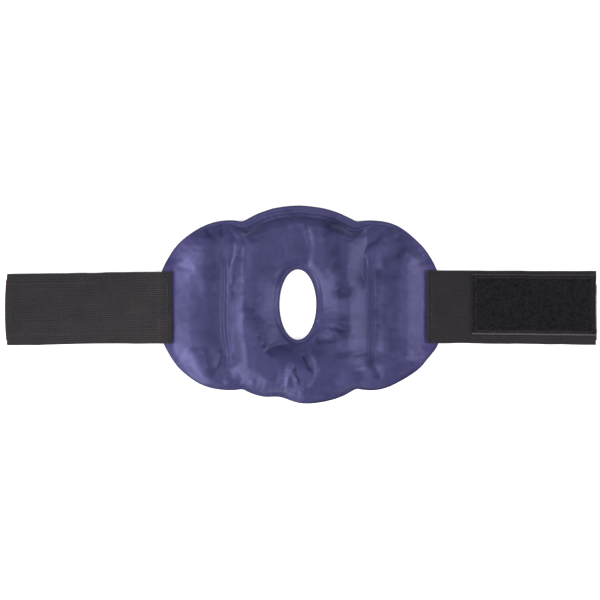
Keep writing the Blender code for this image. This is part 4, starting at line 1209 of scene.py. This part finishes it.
# ---- stitches -----------------------------------------------------------------------------
def stitches(name, points, up, pitch, radius, sink, rise, seed, on, nodes, jitter=0.12):
    """Separate stitches along a line of points: each comes out of the cloth and dives back."""
    points = np.array(points, float)
    seg = np.linalg.norm(np.diff(points, axis=0), axis=1)
    s = np.concatenate([[0], np.cumsum(seg)])
    count = max(int(s[-1] / pitch), 1)
    rnd = np.random.RandomState(seed)
    starts = (np.arange(count) + 0.5) * s[-1] / count
    length = s[-1] / count * 0.86
    k = 7
    f = np.linspace(-0.5, 0.5, k)
    at = starts[:, None] + f[None] * length
    paths = np.stack([np.interp(at, s, points[:, i]) for i in range(3)], -1)
    height = (rise + sink) * (1 - (2 * f) ** 2) ** 0.6 - sink
    paths[..., 2] += up * height[None]
    t = paths[:, -1] - paths[:, 0]
    t /= np.linalg.norm(t, axis=1, keepdims=True)
    side_dir = np.cross(t, np.array([0, 0, 1.0]))
    paths += side_dir[:, None] * (rnd.rand(count, 1, 1) - 0.5) * 2 * jitter
    radii = radius * np.array([0.7, 0.95, 1, 1, 1, 0.95, 0.7])
    obj = tubes(name, paths, radii, side_dir, THREAD, 7, attributes=(("shade", 0.3 + 0.7 * rnd.rand(count)),))
    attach(obj, on)
    if nodes:
        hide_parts(*nodes)
    return obj


for word, side in (("left", -1), ("right", 1)):
    v = np.linspace(-STRAP_W / 2 + 1.4, STRAP_W / 2 - 1.4, 30)
    y = strap_warp(word, np.full_like(v, SEAM_X), v)
    top = LAYER_HIGH + STRAP_T / 2 - 0.14
    stitches(
        word + "_hem_needle_stitches",
        np.stack([np.full_like(v, side * SEAM_X), y, np.full_like(v, top)], -1),
        1, 2.6, 0.24, 0.35, 0.10, 101 + side, word + "_lobe", [word + "_hem_needle_thread"],
    )
    stitches(
        word + "_hem_bobbin_stitches",
        np.stack([np.full_like(v, side * SEAM_X), y, np.full_like(v, BACK_FLANGE)], -1),
        -1, 2.6, 0.24, 0.3, 0.16, 105 + side, word + "_lobe", [word + "_hem_bobbin_thread"],
    )

# ---- loop patch: a backing, a fluffed face and thousands of small loops -------------------
LOOP_LOW, LOOP_HIGH = box("loop_patch")
HOOK_LOW, HOOK_HIGH = box("hook_patch")
SEAM_IN = 3.0


def patch_y(word, x, v, middle_y):
    """Patch points follow the strap's skew."""
    return strap_warp(word, x, v + (middle_y - STRAP_Y))


nx, ny = ((232, 112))
px = np.linspace(LOOP_LOW[0], LOOP_HIGH[0], nx)
half_h = (LOOP_HIGH[1] - LOOP_LOW[1]) / 2
mid_y = (LOOP_HIGH[1] + LOOP_LOW[1]) / 2
pv = np.linspace(-half_h, half_h, ny)
PX, PV = np.meshgrid(px, pv, indexing="ij")
edge_d = np.minimum(np.minimum(PX - LOOP_LOW[0], LOOP_HIGH[0] - PX), half_h - np.abs(PV))
seam_d = np.minimum(
    np.minimum(np.abs(PX - LOOP_LOW[0] - SEAM_IN), np.abs(LOOP_HIGH[0] - SEAM_IN - PX)), np.abs(half_h - SEAM_IN - np.abs(PV))
)
seam_d = np.where(edge_d > SEAM_IN, np.minimum(edge_d - SEAM_IN, 9), SEAM_IN - edge_d)
loop_z = LOOP_LOW[2] + (LOOP_HIGH[2] - LOOP_LOW[2] - 0.55) * (0.45 + 0.55 * ease(edge_d / 1.6, 2.0))
loop_z = loop_z - 0.55 * np.exp(-((seam_d / 0.9) ** 2))
loop_z += (0.16 * noise2(PX / 1.3, PV / 1.3, 111) + 0.16 * noise2(PX / 3.1, PV / 3.1, 112)) * sstep(edge_d / 1.0)
wob = 0.25 * noise2(PV / 2.0, 0 * PV, 113) * (np.abs(PX - LOOP_HIGH[0]) < 1.0)
PY = patch_y("right", PX, PV, mid_y) + 0.15 * noise2(PX / 4.0, np.sign(PV) * 2 + 4, 114) * (np.abs(PV) / half_h) ** 6
top = np.stack([PX + wob, PY, loop_z], -1)
low = np.stack([PX, PY, np.full_like(PX, LOOP_LOW[2])], -1)
rest = np.stack([PX, PV, 0 * PX], -1)
# the tape's woven selvedges show along its top and, more, its bottom
selvedge = sstep((np.where(PV < 0, 1.7, 1.1) - (half_h - np.abs(PV))) / 0.8) * np.where(PV < 0, 1.0, 0.7)
base = closed_sheet(
    "loop_patch_base", top, low, PILE, sharp=75,
    attributes=(("rest", "FLOAT_VECTOR", rest, rest + 50.0), ("edge", "FLOAT", selvedge, 0 * selvedge)),
)
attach(base, "right_end")
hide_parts("loop_patch")

rnd = np.random.RandomState(120)
count = 5600
fx = LOOP_LOW[0] + 0.6 + rnd.rand(count) * (LOOP_HIGH[0] - LOOP_LOW[0] - 1.2)
fv = (rnd.rand(count) * 2 - 1) * (half_h - 0.6)
ed = np.minimum(np.minimum(fx - LOOP_LOW[0], LOOP_HIGH[0] - fx), half_h - np.abs(fv))
sd = np.where(ed > SEAM_IN, np.minimum(ed - SEAM_IN, 9), SEAM_IN - ed)
keep = (sd > 0.6 + 0.5 * rnd.rand(count)) & (half_h - np.abs(fv) > 1.5 + 0.6 * rnd.rand(count))
fx, fv, ed = fx[keep], fv[keep], ed[keep]
count = len(fx)
azimuth = rnd.rand(count) * 2 * math.pi
size = 0.55 + 0.75 * rnd.rand(count)
lean = (rnd.rand(count) - 0.5) * 1.5
k = 7
f = np.linspace(0, 1, k)
ground = LOOP_LOW[2] + (LOOP_HIGH[2] - LOOP_LOW[2] - 0.55) * (0.45 + 0.55 * ease(ed / 1.6, 2.0)) - 0.2
arc_x = (f[None] - 0.5) * size[:, None] * 1.5
arc_z = np.sin(f * math.pi)[None] * np.minimum(size[:, None] * 0.72, 0.74)
bend = np.sin(f * math.pi)[None] * lean[:, None] * 0.55 + 0.2 * np.sin(f * 2 * math.pi)[None] * size[:, None]
ca, sa = np.cos(azimuth)[:, None], np.sin(azimuth)[:, None]
lx = fx[:, None] + arc_x * ca - bend * sa
lv = fv[:, None] + arc_x * sa + bend * ca
paths = np.stack([lx, patch_y("right", lx, lv, mid_y), ground[:, None] + arc_z], -1)
side_dir = np.stack([-np.sin(azimuth), np.cos(azimuth), 0 * azimuth], -1)
fluff = tubes(
    "loop_patch_pile", paths, 0.085 * np.array([0.8, 1, 1, 1, 1, 1, 0.8]), side_dir, LOOPS, 4,
    attributes=(("shade", np.clip(0.22 + 0.85 * noise2(fx / 1.5, fv / 1.5, 131), 0, 1) * 0.75 + 0.25 * rnd.rand(count) ** 2),),
)
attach(fluff, "right_end")


def seam_rect(x0, x1, v0, v1, word, z, middle_y):
    c = [(x0, v0), (x1, v0), (x1, v1), (x0, v1), (x0, v0)]
    out = []
    for (ax, av), (bx, bv) in zip(c[:-1], c[1:]):
        for t in np.linspace(0, 1, 12)[:-1]:
            out.append((ax + (bx - ax) * t, av + (bv - av) * t))
    out.append(c[0])
    out = np.array(out)
    return np.stack([out[:, 0], out[:, 1], np.full(len(out), z)], -1)


seam = seam_rect(LOOP_LOW[0] + SEAM_IN, LOOP_HIGH[0] - SEAM_IN, -half_h + SEAM_IN, half_h - SEAM_IN, "right", 0, mid_y)
sunk = 0.28 * sstep((half_h - SEAM_IN - 0.5 - np.abs(seam[:, 1])) / 3.0)  # the pile half hides the short seams
points = np.stack([seam[:, 0], patch_y("right", seam[:, 0], seam[:, 1], mid_y), LOOP_HIGH[2] - 1.05 - sunk], -1)
stitches("loop_patch_stitches", points, 1, 2.7, 0.22, 0.3, 0.22, 130, "right_end", ["loop_patch_thread"])

# dark red yarn binds the cut end of each strap in small loops
for word, top_v, bottom_v in (("right", 20.0, -27.5), ("left", 26.0, -27.0)):
    side = 1 if word == "right" else -1
    vv = np.linspace(top_v, bottom_v, 420)
    bulge = 0.5 - 1.6 * (vv / 31.75) ** 2 if word == "left" else 0.35 * noise2(vv / 5.0, 0 * vv, 95)
    ex = TIP[word] + bulge - 0.1 + (0.8 if word == "right" else 0.45) * np.abs(np.sin(math.pi * vv / 2.4))
    ez = END[word][2] + 0.30 * np.cos(2 * math.pi * vv / 2.4)
    path = np.stack([side * ex, strap_warp(word, ex, vv), ez], -1)[None]
    yarn = tubes(
        word + "_strap_end_yarn", path, np.full(len(vv), 0.30), np.array([[0.0, 0.0, 1.0]]), RED, 8,
        attributes=(("shade", np.array([0.5])),),
    )
    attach(yarn, word + "_end")

# ---- hook patch on the back of the left strap ---------------------------------------------
hook_mid = (HOOK_LOW[1] + HOOK_HIGH[1]) / 2
hook_half = (HOOK_HIGH[1] - HOOK_LOW[1]) / 2
nx, ny = ((120, 74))
hx_ = np.linspace(-HOOK_HIGH[0], -HOOK_LOW[0], nx)
hv = np.linspace(-hook_half, hook_half, ny)
HX, HV = np.meshgrid(hx_, hv, indexing="ij")
ed = np.minimum(np.minimum(HX - hx_[0], hx_[-1] - HX), hook_half - np.abs(HV))
TAPE = 0.55
low_z = HOOK_HIGH[2] - TAPE + 0.3 * (1 - ease(ed / 1.2, 2.0)) - 0.03 * noise2(HX / 1.5, HV / 1.5, 141)
HY = strap_warp("left", HX, HV)
top = np.stack([-HX, HY, np.full_like(HX, HOOK_HIGH[2])], -1)[:, ::-1]
low = np.stack([-HX, HY, low_z], -1)[:, ::-1]
tape = closed_sheet("hook_patch_tape", top, low, HOOK, sharp=60)
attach(tape, "left_end")
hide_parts("hook_patch")
gx_, gv = np.meshgrid(np.arange(hx_[0] + 4.6, hx_[-1] - 4.4, 2.05), np.arange(-hook_half + 4.6, hook_half - 4.4, 1.5), indexing="ij")
gx_, gv = gx_.ravel(), gv.ravel()
count = len(gx_)
rnd = np.random.RandomState(142)
f = np.linspace(0, 1, 6)
flip = np.where((np.round(gv / 1.5).astype(int) % 2) == 0, 1.0, -1.0)
hook_x = np.array([0.0, 0.02, 0.12, 0.38, 0.62, 0.66])
hook_z = np.array([0.0, 0.42, 0.74, 0.86, 0.72, 0.50])
hxp = gx_[:, None] + flip[:, None] * hook_x[None]
hyp = gv[:, None] + 0 * hook_x[None] + (rnd.rand(count, 1) - 0.5) * 0.2
paths = np.stack([-hxp, strap_warp("left", hxp, hyp), HOOK_HIGH[2] - TAPE - hook_z[None] + 0 * hxp], -1)
hooks = tubes("hook_patch_hooks", paths, 0.13 * np.array([1.3, 1, 1, 1, 0.9, 0.6]), np.tile([0.0, 1.0, 0.0], (count, 1)), HOOK, 5)
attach(hooks, "left_end")
seam = seam_rect(hx_[0] + SEAM_IN, hx_[-1] - SEAM_IN, -hook_half + SEAM_IN, hook_half - SEAM_IN, "left", 0, hook_mid)
strap_top = END["left"][2] + STRAP_T / 2
points = np.stack([-seam[:, 0], strap_warp("left", seam[:, 0], seam[:, 1]), 0 * seam[:, 0] + strap_top - 0.06], -1)
stitches("hook_patch_stitches", points, 1, 2.7, 0.20, 0.3, 0.12, 150, "left_end", ["hook_patch_thread"])

# ---- room, light, camera ------------------------------------------------------------------
floor_mesh = bpy.data.meshes.new("floor")
s = 6.0
floor_mesh.from_pydata([(-s, -s, -0.0004), (s, -s, -0.0004), (s, s, -0.0004), (-s, s, -0.0004)], [], [(0, 1, 2, 3)])
floor = bpy.data.objects.new("floor", floor_mesh)
bpy.context.scene.collection.objects.link(floor)
g = Graph("pale_floor")
g.finish(Base_Color=linear(238, 238, 238), Roughness=0.9, Specular_IOR_Level=0.0, Emission_Color=(1, 1, 1, 1), Emission_Strength=0.55)
floor_mesh.materials.append(g.mat)

# the floor stays under the lowest point of the object, so the folded straps stand on it
sinks = floor.driver_add("location", 2).driver
sinks.type = "MIN"
for body_name, node_name, grow_z in (
    ("root", None, 0.0),
    ("left_lobe", "back_film_left", 0.0), ("right_lobe", "back_film_right", 0.0),
    ("left_elastic_near", "left_elastic_inner", 0.8), ("right_elastic_near", "right_elastic_inner", 0.8),
    ("left_elastic_far", "left_elastic_outer", 0.8), ("right_elastic_far", "right_elastic_outer", 0.8),
    ("left_end", "left_strap_end", 0.8), ("right_end", "right_strap_end", 0.8),
    ("left_end", "hook_patch", 0.8), ("right_end", "loop_patch", 0.8),
):
    if node_name is None:
        spots = [(0.0, 0.0, 0.0)]
    else:
        low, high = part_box(node_name)
        spots = [(x, 0.0, z) for x in (low[0], high[0]) for z in (low[2] - grow_z * MM, high[2] + grow_z * MM)]
    for place in spots:
        mark = bpy.data.objects.new("floor_mark", None)
        bpy.context.scene.collection.objects.link(mark)
        mark.location = place
        if node_name is not None:
            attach(mark, body_name)
        height = sinks.variables.new()
        height.type = "TRANSFORMS"
        height.targets[0].id = mark
        height.targets[0].transform_type = "LOC_Z"
        height.targets[0].transform_space = "WORLD_SPACE"

world = bpy.data.worlds.new("studio")
bpy.context.scene.world = world
world.use_nodes = True
tree = world.node_tree
back = tree.nodes["Background"]
back.inputs[0].default_value = (1, 1, 1, 1)
ray = tree.nodes.new("ShaderNodeLightPath")
pick_ = tree.nodes.new("ShaderNodeMix")
pick_.inputs[2].default_value, pick_.inputs[3].default_value = 0.30, 1.0
tree.links.new(ray.outputs["Is Camera Ray"], pick_.inputs[0])
tree.links.new(pick_.outputs[0], back.inputs[1])


def softbox(name, place, width, height, power):
    light = bpy.data.lights.new(name, "AREA")
    light.shape = "RECTANGLE"
    light.size, light.size_y, light.energy = width, height, power
    obj = bpy.data.objects.new(name, light)
    bpy.context.scene.collection.objects.link(obj)
    obj.location = place
    obj.rotation_mode = "QUATERNION"
    obj.rotation_quaternion = (-Vector(place)).to_track_quat("-Z", "Y")
    obj.visible_camera = False
    return obj


softbox("softbox_left", (-1.10, -0.22, 0.86), 0.55, 1.3, 15.0)
softbox("softbox_front", (-0.80, -1.00, 0.76), 0.8, 0.5, 9.5)
softbox("softbox_right", (1.12, -0.05, 0.84), 0.50, 1.2, 11.5)
softbox("softbox_top", (0.0, 0.1, 2.2), 0.9, 0.9, 5.0)

camera = bpy.data.cameras.new("camera")
camera.lens, camera.sensor_width = 100.0, 36.0
camera.clip_start, camera.clip_end = 0.05, 20.0
eye = bpy.data.objects.new("camera", camera)
bpy.context.scene.collection.objects.link(eye)
pad_low, pad_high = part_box("front_film_centre")
middle_x = (TIP["right"] - TIP["left"]) / 2 * MM - 0.0010
eye.location = (middle_x, 0.00465, 1.482)
bpy.context.scene.camera = eye
